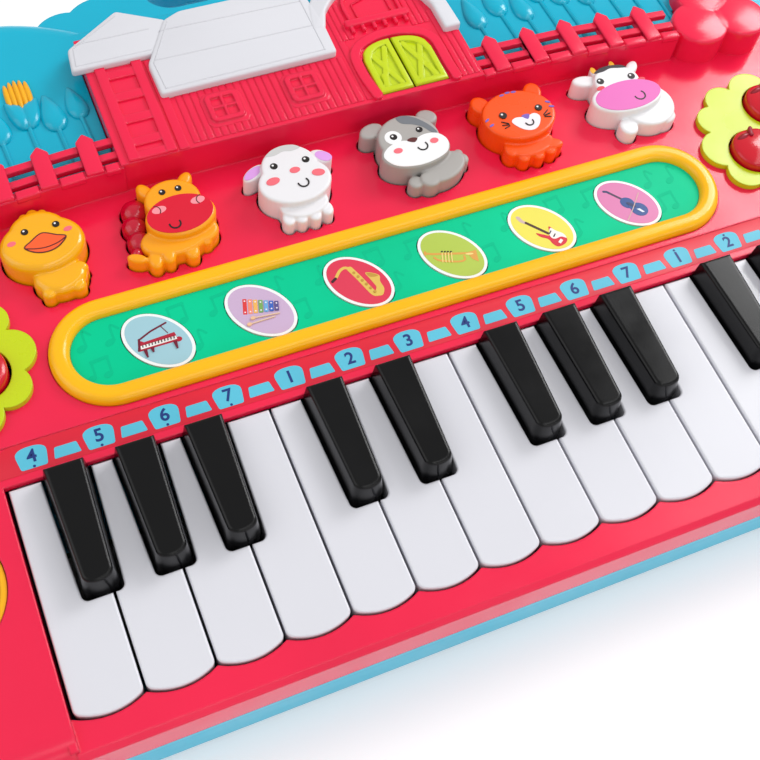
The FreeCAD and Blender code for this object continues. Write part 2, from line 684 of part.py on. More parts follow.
APPLES = {"upper": (-1, 7.7), "inner": (-17.2, -9.9), "outer": (15.2, -10)}
APPLE_TOP = 41.5
PADS = ["piano", "xylophone", "saxophone", "trumpet", "guitar", "violin"]
PAD_LONG, PAD_SHORT, PAD_TURN = 12.3, 8.6, -49
PAD_SHIFT, PAD_Y = -0.5, -28.2
PAD_TOP, PAD_STEM_LOW = 35.5, 24.6


def animal_x(index):
    return BUTTON_STEP * (index - (len(ANIMALS) - 1) / 2)


def animal_ovals(index, levels, extra, z_low, z_high=None):
    """The button's outline grown by extra, up to one height or, without it, to each oval's own top."""
    middle = animal_x(index)
    return fused(*(oval(middle + x, BUTTON_Y + y, long + extra, short + extra, turn, z_low, z_high or top)
                   for top, ovals in levels.items() for x, y, long, short, turn in ovals))


def apple_spots():
    return [(f"{hand}_{name}", (PLATE_X + x) * side, PLATE_Y + y)
            for side, hand in ((-1, "left"), (1, "right")) for name, (x, y) in APPLES.items()]


def pad_x(index):
    return PAD_STEP * (index - (len(PADS) - 1) / 2) + PAD_SHIFT


def pad_oval(index, extra, z_low, z_high):
    return oval(pad_x(index), PAD_Y, PAD_LONG + extra, PAD_SHORT + extra, PAD_TURN, z_low, z_high)


def buttons():
    for index, (name, levels) in enumerate(ANIMALS.items()):
        node(f"animal_button_{name}",
             fused(animal_ovals(index, levels, 0, FLANGE_LOW),
                   animal_ovals(index, levels, FLANGE_EXTRA, FLANGE_LOW, FLANGE_HIGH)))
    for name, x, y in apple_spots():
        node(f"apple_button_{name}",
             fused(disc(x, y, APPLE_R, FLANGE_LOW, APPLE_TOP - 2), dome(x, y, APPLE_TOP - 2, APPLE_R, 2),
                   disc(x, y, APPLE_R + FLANGE_EXTRA, FLANGE_LOW, FLANGE_HIGH)))
    for index, name in enumerate(PADS):
        node(f"instrument_pad_{name}",
             fused(pad_oval(index, 0, DECK - 3, PAD_TOP),
                   disc(pad_x(index), PAD_Y, 3, PAD_STEM_LOW, DECK - 3)))


# ---------------------------------------------------------------- instrument panel
RING_HALF, RING_R, PANEL_HALF, PANEL_R = 118, 19, 111.5, 12.4
RING_TOP = 38
SEAT = 34
OVERLAY_THICK = 1.2


def instrument_panel():
    ring = cut(stadium(RING_HALF, PANEL_Y, RING_R, SEAT, RING_TOP),
               stadium(PANEL_HALF, PANEL_Y, PANEL_R, SEAT - 1, RING_TOP + 1))
    node("instrument_bezel", rounded(ring, 2.6, lambda edge: level(edge, RING_TOP)))
    film = stadium(size(PANEL_HALF) - 0.1, PANEL_Y, size(PANEL_R) - 0.1, SEAT, SEAT + OVERLAY_THICK)
    holes = [pad_oval(index, 0.35, SEAT - 1, DECK + 2) for index in range(len(PADS))]
    node("instrument_overlay", cut(film, *holes))


# ---------------------------------------------------------------- bush plates and speakers
PLATE_THICK = 2.2
PLATE_CORE = (0, -4, 26, 18)
# lobes of the right plate about its middle: x, y, radius
LOBES = [(-16.3, 14.5, 6.7), (-3.6, 16.4, 7.8), (10.5, 15.2, 7.4), (21.5, 8, 7.2), (27, -3.4, 7.6),
         (24.6, -15.6, 7), (14.5, -23.4, 7.4), (0.5, -26, 7.8), (-13.8, -23.2, 7.6), (-24.2, -16.4, 7.2),
         (-27.5, -5, 8), (-24, 7.6, 6.4)]


def bush_plates():
    plates = []
    for side in (-1, 1):
        middle, top = PLATE_X * side, DECK + PLATE_THICK
        x, y, long, short = PLATE_CORE
        pieces = [oval(middle + x, PLATE_Y + y, long, short, 0, DECK, top)]
        pieces += [disc(middle + side * x, PLATE_Y + y, radius, DECK, top) for x, y, radius in LOBES]
        plates.append(fused(*pieces))
    holes = [disc(x, y, APPLE_R + BUTTON_GAP, DECK - 1, BARN) for _, x, y in apple_spots()]
    return node("bush_plates", cut(fused(*plates), *holes))


def speakers():
    grilles, drivers = [], []
    for side in (-1, 1):
        x, y = SPEAKER_X * side, SPEAKER_Y
        plate = fused(disc(x, y, SPEAKER_R, FLANGE_LOW, DECK - 0.6),
                      disc(x, y, SPEAKER_R + FLANGE_EXTRA, FLANGE_LOW, FLANGE_HIGH))
        slots = [block(x - half, x + half, y + rank * 5 - 1.1, y + rank * 5 + 1.1, FLANGE_LOW - 1, DECK)
                 for rank, half in ((-3, 8), (-2, 13), (-1, 15.4), (0, 16.2), (1, 15.4), (2, 13), (3, 8))]
        grilles.append(cut(plate, disc(x, y, SPEAKER_R - 1.8, DECK - 2.2, DECK), *slots,
                           disc(x, y, SPEAKER_R - 1.8, FLANGE_LOW - 1, FLANGE_LOW + 0.8)))
        cone = doc.addObject("Part::Cone", "cone")
        bind(cone, Radius1=11, Radius2=18, Height=8)
        drivers.append(fused(disc(x, y, 19.6, 26.5, 29.4), moved(cone, x, y, 18.5), disc(x, y, 13, 13, 18.5)))
    node("speaker_grilles", fused(*grilles))
    node("speaker_drivers", fused(*drivers))


# ---------------------------------------------------------------- red upper housing
LABEL_DEPTH = 0.4
LIP_BEVEL = 1.8
LABEL_HALF = WELL_HALF + 1.5
LABEL_FRONT, LABEL_BACK = -58.4, -48.4
BOARD = (-128, 128, -38, 30)
BOARD_LOW = 21
BOARD_POSTS = [(x * 42.6, y) for x in (0, 1, 2) for y in (-11.5, 27.6)]
BOARD_POST_R = 2.2


def scalloped_well():
    """Opening for the keys; its front edge repeats the bulge of every white key."""
    edge = KEY_FRONT - BUTTON_GAP
    front = [(PITCH * (i - WHITE_COUNT / 2), edge, KEY_BULGE) for i in range(1, WHITE_COUNT)]
    outline = [(-WELL_HALF, edge, KEY_BULGE), *front, (WELL_HALF, edge), (WELL_HALF, WELL_BACK),
               (-WELL_HALF, WELL_BACK)]
    return slab(outline, PARTING - 1, BARN)


def key_lip():
    """Low shelf in front of the keys, one step below the deck on each side of it."""
    back, half = KEY_FRONT + 1, WELL_HALF + 1
    bar = edged("Part::Chamfer", block(-half, half, FRONT, back, PARTING, LIP), LIP_BEVEL,
                lambda e: level(e, LIP.number) and e.BoundBox.YMax < FRONT.number + 0.1)
    return cut(bar, block(-half - 1, half + 1, FRONT + SKIN, back + 1, PARTING - 1, LIP - SKIN))


def upper_housing():
    outer = common(farmyard(0, PARTING, DECK), before_seam(0, 0, BARN))
    shell = rounded(outer, EDGE_R, lambda edge: level(edge, DECK.number)
                    and edge.BoundBox.YMin < SEAM_Y.number - 0.1)
    cavity = common(fused(farmyard(SKIN, PARTING - 1, DECK - EDGE_R),
                          farmyard(EDGE_INSET, PARTING - 1, DECK - SKIN)), before_seam(SKIN, 0, BARN))
    shell = cut(shell, cavity, block(-WELL_HALF, WELL_HALF, FRONT - 1, KEY_FRONT + 1, PARTING - 1, BARN))
    walls = [block(low, low + SKIN, FRONT + SKIN, PIVOT_Y + 6, 20, DECK - 1)
             for low in (-WELL_HALF - SKIN, WELL_HALF)]
    barn_shell = cut(barn(0, BARN_LOW, BARN), barn(-SKIN, BARN_LOW - 1, BARN - SKIN))
    bushes = [rounded(disc(x, y, radius, DECK - 0.5, BUSH_TOP), BUSH_EDGE, lambda e: level(e, BUSH_TOP))
              for x, y, radius in both_sides(BUSHES)]
    posts = discs(both_sides(SCREWS_DECK), POST_R, PARTING, DECK - 1)
    posts += discs(both_sides(SCREWS_BARN), POST_R, PARTING, BARN - 1)
    posts += discs(both_sides(BOARD_POSTS), BOARD_POST_R, BOARD_LOW + BOARD_THICK, SEAT)
    solid = fused(shell, key_lip(), *walls, barn_shell, *fence(-1), *fence(1), *bushes, *posts)
    holes = [scalloped_well(), stadium(RING_HALF + 0.2, PANEL_Y, RING_R + 0.2, SEAT, DECK + 1),
             block(-LABEL_HALF, LABEL_HALF, LABEL_FRONT, LABEL_BACK, DECK - LABEL_DEPTH, DECK + 1),
             cross_pin(-WELL_HALF - 3, WELL_HALF + 3, PIVOT_Y, PIVOT_Z, ROD_RADIUS + PLAY),
             door_outline(0.2, DOOR_SEAT, BARN + 1)]
    holes += [animal_ovals(index, levels, BUTTON_GAP, FLANGE_HIGH, DECK + 1)
              for index, levels in enumerate(ANIMALS.values())]
    holes += [disc(x, y, APPLE_R + BUTTON_GAP, FLANGE_HIGH, DECK + 1) for _, x, y in apple_spots()]
    holes += [pad_oval(index, BUTTON_GAP, FLANGE_HIGH, DECK + 1) for index in range(len(PADS))]
    holes += [disc(SPEAKER_X * side, SPEAKER_Y, SPEAKER_R + FIT, FLANGE_HIGH, BARN) for side in (-1, 1)]
    holes += discs(both_sides(SCREWS_DECK + SCREWS_BARN), SCREW_R + PLAY, PARTING - 1, SCREW_TOP + 1)
    return node("top_housing", cut(solid, *holes))


# ---------------------------------------------------------------- blue field, hills and handle
HILL_EDGE_R = 7


def field_panel():
    front = SEAM_Y + FIT
    hills = common(farmyard(0, PARTING, FIELD), behind_seam(FIT, 0, BARN))
    hills = rounded(hills, HILL_EDGE_R, lambda edge: level(edge, FIELD.number)
                    and edge.BoundBox.YMax > front.number + 0.1 and edge.BoundBox.XLength > 20
                    and abs(edge.BoundBox.Center.x) > 60)
    solid = fused(hills, cloud(0, PARTING, CLOUD_TOP))
    cavity = common(fused(farmyard(SKIN, PARTING - 1, FIELD - HILL_EDGE_R - 1),
                          farmyard(HILL_EDGE_R, PARTING - 1, FIELD - SKIN),
                          cut(cloud(SKIN, PARTING - 1, size(CLOUD_TOP) - SKIN), grip(SKIN, 0, BARN))),
                    behind_seam(FIT + SKIN.number, 0, BARN))
    posts = discs(both_sides(SCREWS_HILL), POST_R, PARTING, FIELD - 1)
    posts += discs(SCREWS_HANDLE, POST_R, PARTING, CLOUD_TOP - 1)
    solid = fused(cut(solid, cavity), *posts)
    holes = [barn(FIT, PARTING - 1, BARN), grip(0, PARTING - 1, BARN)]
    holes += [disc(x, y, radius + FIT, DECK - 2, BARN) for x, y, radius in both_sides(BUSHES)]
    holes += [block(*sorted((side * 140, side * 172)), SEAM_Y, BUSHES[2][1], DECK - 2, BARN)
              for side in (-1, 1)]
    holes += discs(both_sides(SCREWS_HILL + SCREWS_HANDLE), SCREW_R + PLAY, PARTING - 1, SCREW_TOP + 1)
    return node("crop_field_panel", cut(solid, *holes))


# ---------------------------------------------------------------- inside and underneath
DOME_R, DOME_TOP = 3.2, 15.8
SWITCH_TOP = 26.2


def key_switches():
    low = KEY_BOARD_LOW + BOARD_THICK
    node("key_contact_board", block(*KEY_BOARD, KEY_BOARD_LOW, low))
    spots = [(PITCH * (i - WHITE_COUNT / 2 + 0.5), PLUNGER_Y["white"]) for i in range(WHITE_COUNT)]
    spots += [(black_x(shift), PLUNGER_Y["black"]) for shift in BLACK_KEYS.values()]
    domes = []
    for x, y in spots:
        cone = doc.addObject("Part::Cone", "rubber_dome")
        bind(cone, Radius1=DOME_R + 1, Radius2=DOME_R - 1, Height=DOME_TOP - low - 0.8)
        domes.append(moved(cone, x, y, low + 0.8))
    node("key_contact_rubber", fused(block(*grown(KEY_BOARD, -2), low, low + 0.8), *domes))


def main_board():
    top = BOARD_LOW + BOARD_THICK
    switches = [disc(animal_x(i), BUTTON_Y, 3, top, SWITCH_TOP) for i in range(len(ANIMALS))]
    switches += [disc(pad_x(i), PAD_Y, 2, top, top + 1) for i in range(len(PADS))]
    chips = [block(-9, 9, -8, 4, BOARD_LOW - 2, BOARD_LOW), block(40, 46, -10, 6, BOARD_LOW - 5, BOARD_LOW)]
    return node("main_circuit_board", fused(block(*BOARD, BOARD_LOW, top), *switches, *chips))


def small_parts():
    node("key_pivot_rod", cross_pin(-WELL_HALF - 2.9, WELL_HALF + 2.9, PIVOT_Y, PIVOT_Z, ROD_RADIUS))
    feet = [(165, -105), (170, 55), (60, -128), (70, 108)]
    node("rubber_feet", fused(*discs(both_sides(feet), 7, 0, FOOT)))
    screws = [fused(disc(x, y, HEAD_R, FOOT + 0.6, HEAD_SEAT), disc(x, y, SCREW_R, HEAD_SEAT, SCREW_TOP))
              for x, y in ALL_SCREWS]
    node("case_screws", fused(*screws))


lower_case()
battery_door()
batteries()
barn_roof()
barn_doors()
buttons()
instrument_panel()
bush_plates()
speakers()
upper_housing()
field_panel()
key_switches()
main_board()
small_parts()


# ---------------------------------------------------------------- checks and files
doc.recompute()
failed = [o.Name for o in doc.Objects if {"Invalid", "Error"} & set(o.State)]
if failed:
    raise RuntimeError(f"features failed: {failed}")
os.makedirs("parts", exist_ok=True)
for part in NODES:
    if part.Shape.isNull() or not part.Shape.isValid() or not part.Shape.Solids:
        raise RuntimeError(f"bad shape: {part.Label}")
    part.Shape.exportStep(f"parts/{part.Label}.step")
print(len(NODES), "parts written")
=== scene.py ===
import math

import bmesh
import bpy
from mathutils import Matrix, Vector


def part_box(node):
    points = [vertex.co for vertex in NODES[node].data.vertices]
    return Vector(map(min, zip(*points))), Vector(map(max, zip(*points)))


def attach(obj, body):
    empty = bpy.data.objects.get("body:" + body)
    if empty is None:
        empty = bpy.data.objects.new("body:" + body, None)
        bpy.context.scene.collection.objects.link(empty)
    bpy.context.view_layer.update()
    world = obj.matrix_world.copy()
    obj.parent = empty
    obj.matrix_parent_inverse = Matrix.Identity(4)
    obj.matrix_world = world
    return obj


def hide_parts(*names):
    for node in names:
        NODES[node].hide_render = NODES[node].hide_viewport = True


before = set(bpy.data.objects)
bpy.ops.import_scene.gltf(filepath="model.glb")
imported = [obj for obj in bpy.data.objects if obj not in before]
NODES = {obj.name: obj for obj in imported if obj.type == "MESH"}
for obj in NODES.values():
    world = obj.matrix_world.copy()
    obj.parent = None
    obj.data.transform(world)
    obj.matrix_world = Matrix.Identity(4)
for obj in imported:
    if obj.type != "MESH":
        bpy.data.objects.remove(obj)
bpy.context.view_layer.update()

# Places and sizes below are in millimetres in the frame's own axes; MM turns them into metres.
MM = 0.001
CASE = "keyboard_case"


# ---------------- colours and materials
def linear(red, green, blue):
    """An 8-bit screen colour as the linear values a shader takes."""
    return tuple(((c / 255 + 0.055) / 1.055) ** 2.4 if c > 10 else c / 3295 for c in (red, green, blue))


class Nodes:
    """A material's node tree with short calls to add and join nodes."""

    def __init__(self, name):
        self.material = bpy.data.materials.new(name)
        self.material.use_nodes = True
        self.tree = self.material.node_tree
        self.shader = self.tree.nodes["Principled BSDF"]
        self.place = self.tree.nodes.new("ShaderNodeTexCoord").outputs["Object"]

    def noise(self, scale, detail=2.0):
        made = self.tree.nodes.new("ShaderNodeTexNoise")
        made.inputs["Scale"].default_value = scale
        made.inputs["Detail"].default_value = detail
        self.tree.links.new(self.place, made.inputs["Vector"])
        return made.outputs["Fac"]

    def spread(self, value, low, high):
        made = self.tree.nodes.new("ShaderNodeMapRange")
        made.inputs["From Min"].default_value = 0.3
        made.inputs["From Max"].default_value = 0.7
        made.inputs["To Min"].default_value = low
        made.inputs["To Max"].default_value = high
        self.tree.links.new(value, made.inputs["Value"])
        return made.outputs["Result"]

    def tones(self, value, *stops):
        """A colour ramp; each stop is (position, colour)."""
        ramp = self.tree.nodes.new("ShaderNodeValToRGB")
        marks = ramp.color_ramp.elements
        while len(marks) < len(stops):
            marks.new(0.5)
        for mark, (spot, colour) in zip(marks, stops):
            mark.position = spot
            mark.color = (*colour, 1)
        self.tree.links.new(value, ramp.inputs["Fac"])
        return ramp.outputs["Color"]

    def bump(self, height, strength, worn=0.0, distance=0.0002):
        """Fine relief; worn is the radius in metres to which sharp edges are eased."""
        made = self.tree.nodes.new("ShaderNodeBump")
        made.inputs["Strength"].default_value = strength
        made.inputs["Distance"].default_value = distance
        self.tree.links.new(height, made.inputs["Height"])
        if worn:
            eased = self.tree.nodes.new("ShaderNodeBevel")
            eased.samples = 4
            eased.inputs["Radius"].default_value = worn
            self.tree.links.new(eased.outputs["Normal"], made.inputs["Normal"])
        self.tree.links.new(made.outputs["Normal"], self.shader.inputs["Normal"])

    def feed(self, socket, output):
        self.tree.links.new(output, self.shader.inputs[socket])

    def fixed(self, **values):
        for socket, value in values.items():
            self.shader.inputs[socket.replace("_", " ")].default_value = value


def plastic(name, colour, rough=0.3, coat=0.0, relief=0.04, grain=1500, vary=0.04, shine=0.45, worn=0.0006):
    """Moulded plastic: faint flow marks in the colour, uneven gloss and a fine moulded grain."""
    made = Nodes(name)
    base = linear(*colour)
    flow = made.noise(22, 4)
    made.feed("Base Color", made.tones(flow, (0.32, tuple(c * (1 - vary) for c in base)), (0.5, base),
                                       (0.72, tuple(min(1, c * (1 + vary)) for c in base))))
    made.feed("Roughness", made.spread(made.noise(60, 5), rough - 0.05, rough + 0.06))
    made.bump(made.noise(grain, 2), relief, worn)
    made.fixed(Coat_Weight=coat, Coat_Roughness=0.12, Specular_IOR_Level=shine)
    return made.material


def metal(name, colour, rough=0.3):
    made = Nodes(name)
    base = linear(*colour)
    marks = made.noise(400, 6)
    made.feed("Base Color", made.tones(marks, (0.35, tuple(c * 0.8 for c in base)), (0.65, base)))
    made.feed("Roughness", made.spread(marks, rough, rough + 0.15))
    made.bump(marks, 0.08)
    made.fixed(Metallic=1.0)
    return made.material


RED = plastic("red_plastic", (238, 27, 71), rough=0.2, worn=0.0009)
BLUE = plastic("blue_plastic", (0, 176, 206), rough=0.2)
RIM = plastic("base_plastic", (60, 186, 216), rough=0.34)
WHITE = plastic("roof_plastic", (216, 216, 222), rough=0.4, vary=0.015)
YELLOW = plastic("ring_plastic", (255, 186, 0), rough=0.22)
LIME = plastic("lime_plastic", (196, 214, 14), rough=0.26)
AMBER = plastic("amber_plastic", (250, 180, 10), rough=0.34)
TEAL = plastic("teal_film", (0, 200, 146), rough=0.45, vary=0.09, relief=0.03, shine=0.12, worn=0)
NOTE_INK = plastic("note_ink", (0, 190, 140), rough=0.5, shine=0.12, worn=0)
PAD_WHITE = plastic("pad_border", (240, 242, 242), rough=0.4, vary=0.02, worn=0)
KEY_WHITE = plastic("key_white", (220, 220, 227), rough=0.2, coat=0.2, vary=0.012, relief=0.015, worn=0.0003)
KEY_BLACK = plastic("key_black", (3, 3, 4), rough=0.2, vary=0.1, relief=0.02, shine=0.28)
STRIP_RED = plastic("label_film", (222, 22, 52), rough=0.42, worn=0)
LABEL_BLUE = plastic("label_ink", (88, 190, 216), rough=0.45, vary=0.03, worn=0)
NAVY = plastic("digit_ink", (12, 50, 122), rough=0.45, worn=0)
BOARD_GREEN = plastic("circuit_board", (22, 96, 52), rough=0.45, vary=0.2)
GREY_RUBBER = plastic("grey_rubber", (150, 152, 150), rough=0.7, relief=0.2)
DARK_RUBBER = plastic("dark_rubber", (38, 38, 40), rough=0.75, relief=0.3, grain=900)
SPEAKER_PAPER = plastic("speaker_paper", (30, 30, 32), rough=0.7, relief=0.3, grain=700)
BATTERY = plastic("battery_sleeve", (52, 108, 170), rough=0.3, coat=0.4)
STEEL = metal("steel", (196, 198, 202))
APPLE = plastic("apple_red", (206, 4, 34), rough=0.16, coat=0.2, vary=0.12, relief=0.02)
STALK = plastic("apple_stalk", (150, 4, 34), rough=0.3)
SKINS = {"duck": plastic("duck_yellow", (246, 176, 4), rough=0.16, coat=0.3, worn=0),
         "pony": plastic("pony_orange", (252, 164, 16), rough=0.24, worn=0),
         "sheep": plastic("sheep_white", (234, 232, 235), rough=0.34, vary=0.015, worn=0),
         "dog": plastic("dog_grey", (170, 166, 162), rough=0.42, vary=0.03, worn=0),
         "tiger": plastic("tiger_orange", (255, 84, 6), rough=0.28, worn=0),
         "cow": plastic("cow_white", (236, 235, 237), rough=0.34, vary=0.015, worn=0)}
MANE = plastic("pony_mane", (196, 2, 44), rough=0.2, coat=0.3, worn=0)
INKS = {}


def ink(colour):
    """Printed ink of one colour, made once and then shared."""
    if colour not in INKS:
        INKS[colour] = plastic("ink_%02x%02x%02x" % colour, colour, rough=0.36, worn=0)
    return INKS[colour]


FINISH = {"bottom_case": RIM, "top_housing": RED, "crop_field_panel": BLUE, "barn_roof": WHITE,
          "barn_doors": LIME, "instrument_bezel": YELLOW, "instrument_overlay": TEAL, "bush_plates": LIME,
          "speaker_grilles": AMBER, "speaker_drivers": SPEAKER_PAPER, "key_contact_board": BOARD_GREEN,
          "key_contact_rubber": GREY_RUBBER, "main_circuit_board": BOARD_GREEN, "key_pivot_rod": STEEL,
          "battery_door": RIM, "batteries": BATTERY, "rubber_feet": DARK_RUBBER, "case_screws": STEEL}


def finish_of(node):
    for start, material in (("white_key", KEY_WHITE), ("black_key", KEY_BLACK), ("apple", APPLE),
                            ("instrument_pad", PAD_WHITE)):
        if node.startswith(start):
            return material
    if node.startswith("animal_button"):
        return SKINS[node.rsplit("_", 1)[1]]
    return FINISH[node]


for node_name, node_object in NODES.items():
    node_object.data.materials.clear()
    node_object.data.materials.append(finish_of(node_name))


# ---------------- outlines in the plane
def arc(x, y, radius, start, stop, count=12, squash=1.0):
    """Points along part of a circle or, with squash, an ellipse; angles in degrees."""
    turns = [math.radians(start + (stop - start) * i / count) for i in range(count + 1)]
    return [(x + radius * math.cos(t), y + radius * squash * math.sin(t)) for t in turns]


def oval(x, y, long, short, turn=0, count=40):
    c, s = math.cos(math.radians(turn)), math.sin(math.radians(turn))
    ring = [(long * math.cos(2 * math.pi * i / count), short * math.sin(2 * math.pi * i / count))
            for i in range(count)]
    return [(x + u * c - v * s, y + u * s + v * c) for u, v in ring]


def spline(points, closed=True, steps=6):
    """A smooth line through the points (Catmull-Rom)."""
    count = len(points)
    found = []
    for i in range(count if closed else count - 1):
        if closed:
            a, b, c, d = (points[(i + k) % count] for k in (-1, 0, 1, 2))
        else:
            a, b, c, d = (points[min(max(i + k, 0), count - 1)] for k in (-1, 0, 1, 2))
        for step in range(steps):
            t = step / steps
            found.append(tuple(
                0.5 * (2 * b[k] + (c[k] - a[k]) * t + (2 * a[k] - 5 * b[k] + 4 * c[k] - d[k]) * t * t
                       + (3 * b[k] - a[k] - 3 * c[k] + d[k]) * t ** 3) for k in (0, 1)))
    return found if closed else found + [points[-1]]


def soft_corners(points, radius, steps=5):
    """A polygon whose corners are rounded by a quadratic curve."""
    found = []
    count = len(points)
    for i in range(count):
        corner = Vector(points[i])
        before, after = Vector(points[i - 1]) - corner, Vector(points[(i + 1) % count]) - corner
        one = corner + before.normalized() * min(radius, before.length * 0.45)
        two = corner + after.normalized() * min(radius, after.length * 0.45)
        for k in range(steps + 1):
            t = k / steps
            found.append(tuple(one * (1 - t) ** 2 + corner * 2 * t * (1 - t) + two * t * t))
    return found


def area_of(points):
    return sum(a[0] * b[1] - b[0] * a[1] for a, b in zip(points, points[1:] + points[:1])) / 2


def inset(points, distance):
    """The outline moved inwards by a distance, corner by corner."""
    if area_of(points) < 0:
        points = points[::-1]
    found = []
    for i, point in enumerate(points):
        one = (Vector(point) - Vector(points[i - 1])).normalized()
        two = (Vector(points[(i + 1) % len(points)]) - Vector(point)).normalized()
        normal = Vector((-one.y - two.y, one.x + two.x))
        length = max(normal.length_squared / 2, 0.5)
        found.append((point[0] + normal.x * distance / length, point[1] + normal.y * distance / length))
    return found


def box(x_low, x_high, y_low, y_high):
    return [(x_low, y_low), (x_high, y_low), (x_high, y_high), (x_low, y_high)]


def at(points, x, y, turn=0.0, scale=1.0):
    """The outline scaled, turned in degrees and moved to x, y."""
    c, s = math.cos(math.radians(turn)) * scale, math.sin(math.radians(turn)) * scale
    return [(x + u * c - v * s, y + u * s + v * c) for u, v in points]


# ---------------- solids
def ring_at(mesh, points, height):
    return [mesh.verts.new((x * MM, y * MM, height * MM)) for x, y in points]


def bridge(mesh, lower, upper, slot=0):
    count = len(lower)
    for i in range(count):
        face = mesh.faces.new((lower[i], lower[(i + 1) % count], upper[(i + 1) % count], upper[i]))
        face.material_index = slot


def cap(mesh, ring, slot=0, down=False):
    face = mesh.faces.new(ring[::-1] if down else ring)
    face.material_index = slot


def stack(mesh, rings, slot=0):
    """Joins the rings from the lowest up and closes both ends."""
    for lower, upper in zip(rings, rings[1:]):
        bridge(mesh, lower, upper, slot)
    cap(mesh, rings[0], slot, down=True)
    cap(mesh, rings[-1], slot)


def plate(mesh, points, low, top, edge=0.0, steps=4, slot=0):
    """A closed plate with the outline of the points and a rounded upper edge."""
    if area_of(points) < 0:
        points = points[::-1]
    rings = [ring_at(mesh, points, low)]
    if edge:
        for i in range(steps + 1):
            turn = math.pi / 2 * i / steps
            rings.append(ring_at(mesh, inset(points, edge * (1 - math.cos(turn))),
                                 top - edge * (1 - math.sin(turn))))
    else:
        rings.append(ring_at(mesh, points, top))
    stack(mesh, rings, slot)


def block(mesh, corners, radius, low, top, edge=0.4, steps=3):
    """A closed plate over a plain polygon, with round corners and a rounded upper edge."""
    if area_of(corners) < 0:
        corners = corners[::-1]
    rings = [ring_at(mesh, soft_corners(corners, radius), low)]
    for i in range(steps + 1):
        turn = math.pi / 2 * i / steps
        moved = edge * (1 - math.cos(turn))
        rings.append(ring_at(mesh, soft_corners(inset(corners, moved), max(radius - moved, 0.15)),
                             top - edge * (1 - math.sin(turn))))
    stack(mesh, rings)


def mound(mesh, points, low, top, wall=0.0, steps=6, middle=None):
    """A closed dome over an outline; it rises straight by wall and then curves to its middle."""
    if area_of(points) < 0:
        points = points[::-1]
    count = len(points)
    x, y = middle or (sum(p[0] for p in points) / count, sum(p[1] for p in points) / count)
    rings = [ring_at(mesh, points, low)]
    for i in range(steps):
        turn = math.pi / 2 * i / steps
        share = math.cos(turn)
        height = low + wall + (top - low - wall) * math.sin(turn)
        if i or wall:
            shrunk = [(x + (u - x) * share, y + (v - y) * share) for u, v in points]
            rings.append(ring_at(mesh, shrunk, height))
    for lower, upper in zip(rings, rings[1:]):
        bridge(mesh, lower, upper)
    tip = mesh.verts.new((x * MM, y * MM, top * MM))
    for i in range(count):
        mesh.faces.new((rings[-1][i], rings[-1][(i + 1) % count], tip))
    cap(mesh, rings[0], down=True)


def stroke(mesh, path, width, low, top, slot=0, crown=0.0):
    """A closed bar of even width with round ends along an open path; crown lifts its middle line."""
    path = [Vector(p) for p in path]
    half = width / 2
    ends = []
    for point, towards in ((path[0], path[1]), (path[-1], path[-2])):
        out = (point - towards).normalized()
        ends.append([(point + out * half * math.sin(t), half * math.cos(t))
                     for t in (math.radians(k) for k in (72, 45, 20))])
    spots = ends[0] + [(p, half) for p in path] + ends[1][::-1]
    sides = []
    for i, (point, reach) in enumerate(spots):
        along = (spots[min(i + 1, len(spots) - 1)][0] - spots[max(i - 1, 0)][0]).normalized()
        across = Vector((-along.y, along.x)) * reach
        row = [(point + across, low), (point + across, top), (point, top + crown), (point - across, top),
               (point - across, low)]
        sides.append([mesh.verts.new((p.x * MM, p.y * MM, h * MM)) for p, h in row])
    for one, two in zip(sides, sides[1:]):
        for k in range(5):
            mesh.faces.new((one[k], one[(k + 1) % 5], two[(k + 1) % 5], two[k])).material_index = slot
    cap(mesh, sides[0], slot, down=True)
    cap(mesh, sides[-1], slot)


def band(mesh, points, width, low, top, slot=0):
    """A closed flat ring that follows an outline, as wide as width inside it."""
    inner = inset(points, width)
    if area_of(points) < 0:
        points = points[::-1]
    loops = [ring_at(mesh, points, low), ring_at(mesh, points, top), ring_at(mesh, inner, top),
             ring_at(mesh, inner, low)]
    for one, two in zip(loops, loops[1:] + loops[:1]):
        bridge(mesh, one, two, slot)


def piece(name, mesh, materials, body, sharp=40):
    """Turns the mesh into an object that rides on a body."""
    bmesh.ops.recalc_face_normals(mesh, faces=mesh.faces)
    data = bpy.data.meshes.new(name)
    mesh.to_mesh(data)
    mesh.free()
    made = bpy.data.objects.new(name, data)
    bpy.context.scene.collection.objects.link(made)
    for material in materials:
        data.materials.append(material)
    data.shade_smooth()
    data.set_sharp_from_angle(angle=math.radians(sharp))
    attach(made, body)
    return made


def apply_modifiers(thing):
    """Bakes the object's modifiers into its mesh."""
    graph = bpy.context.evaluated_depsgraph_get()
    baked = bpy.data.meshes.new_from_object(thing.evaluated_get(graph))
    thing.modifiers.clear()
    old = thing.data
    thing.data = baked
    bpy.data.meshes.remove(old)


def melt(thing, voxel, smooth, keep=0.4):
    """Melts overlapping closed shells into one skin with soft inner corners."""
    remesh = thing.modifiers.new("one_skin", "REMESH")
    remesh.mode = "VOXEL"
    remesh.voxel_size = voxel * MM
    even = thing.modifiers.new("even", "SMOOTH")
    even.factor = 0.5
    even.iterations = smooth
    thin = thing.modifiers.new("thin", "DECIMATE")
    thin.ratio = keep
    apply_modifiers(thing)
    thing.data.shade_smooth()


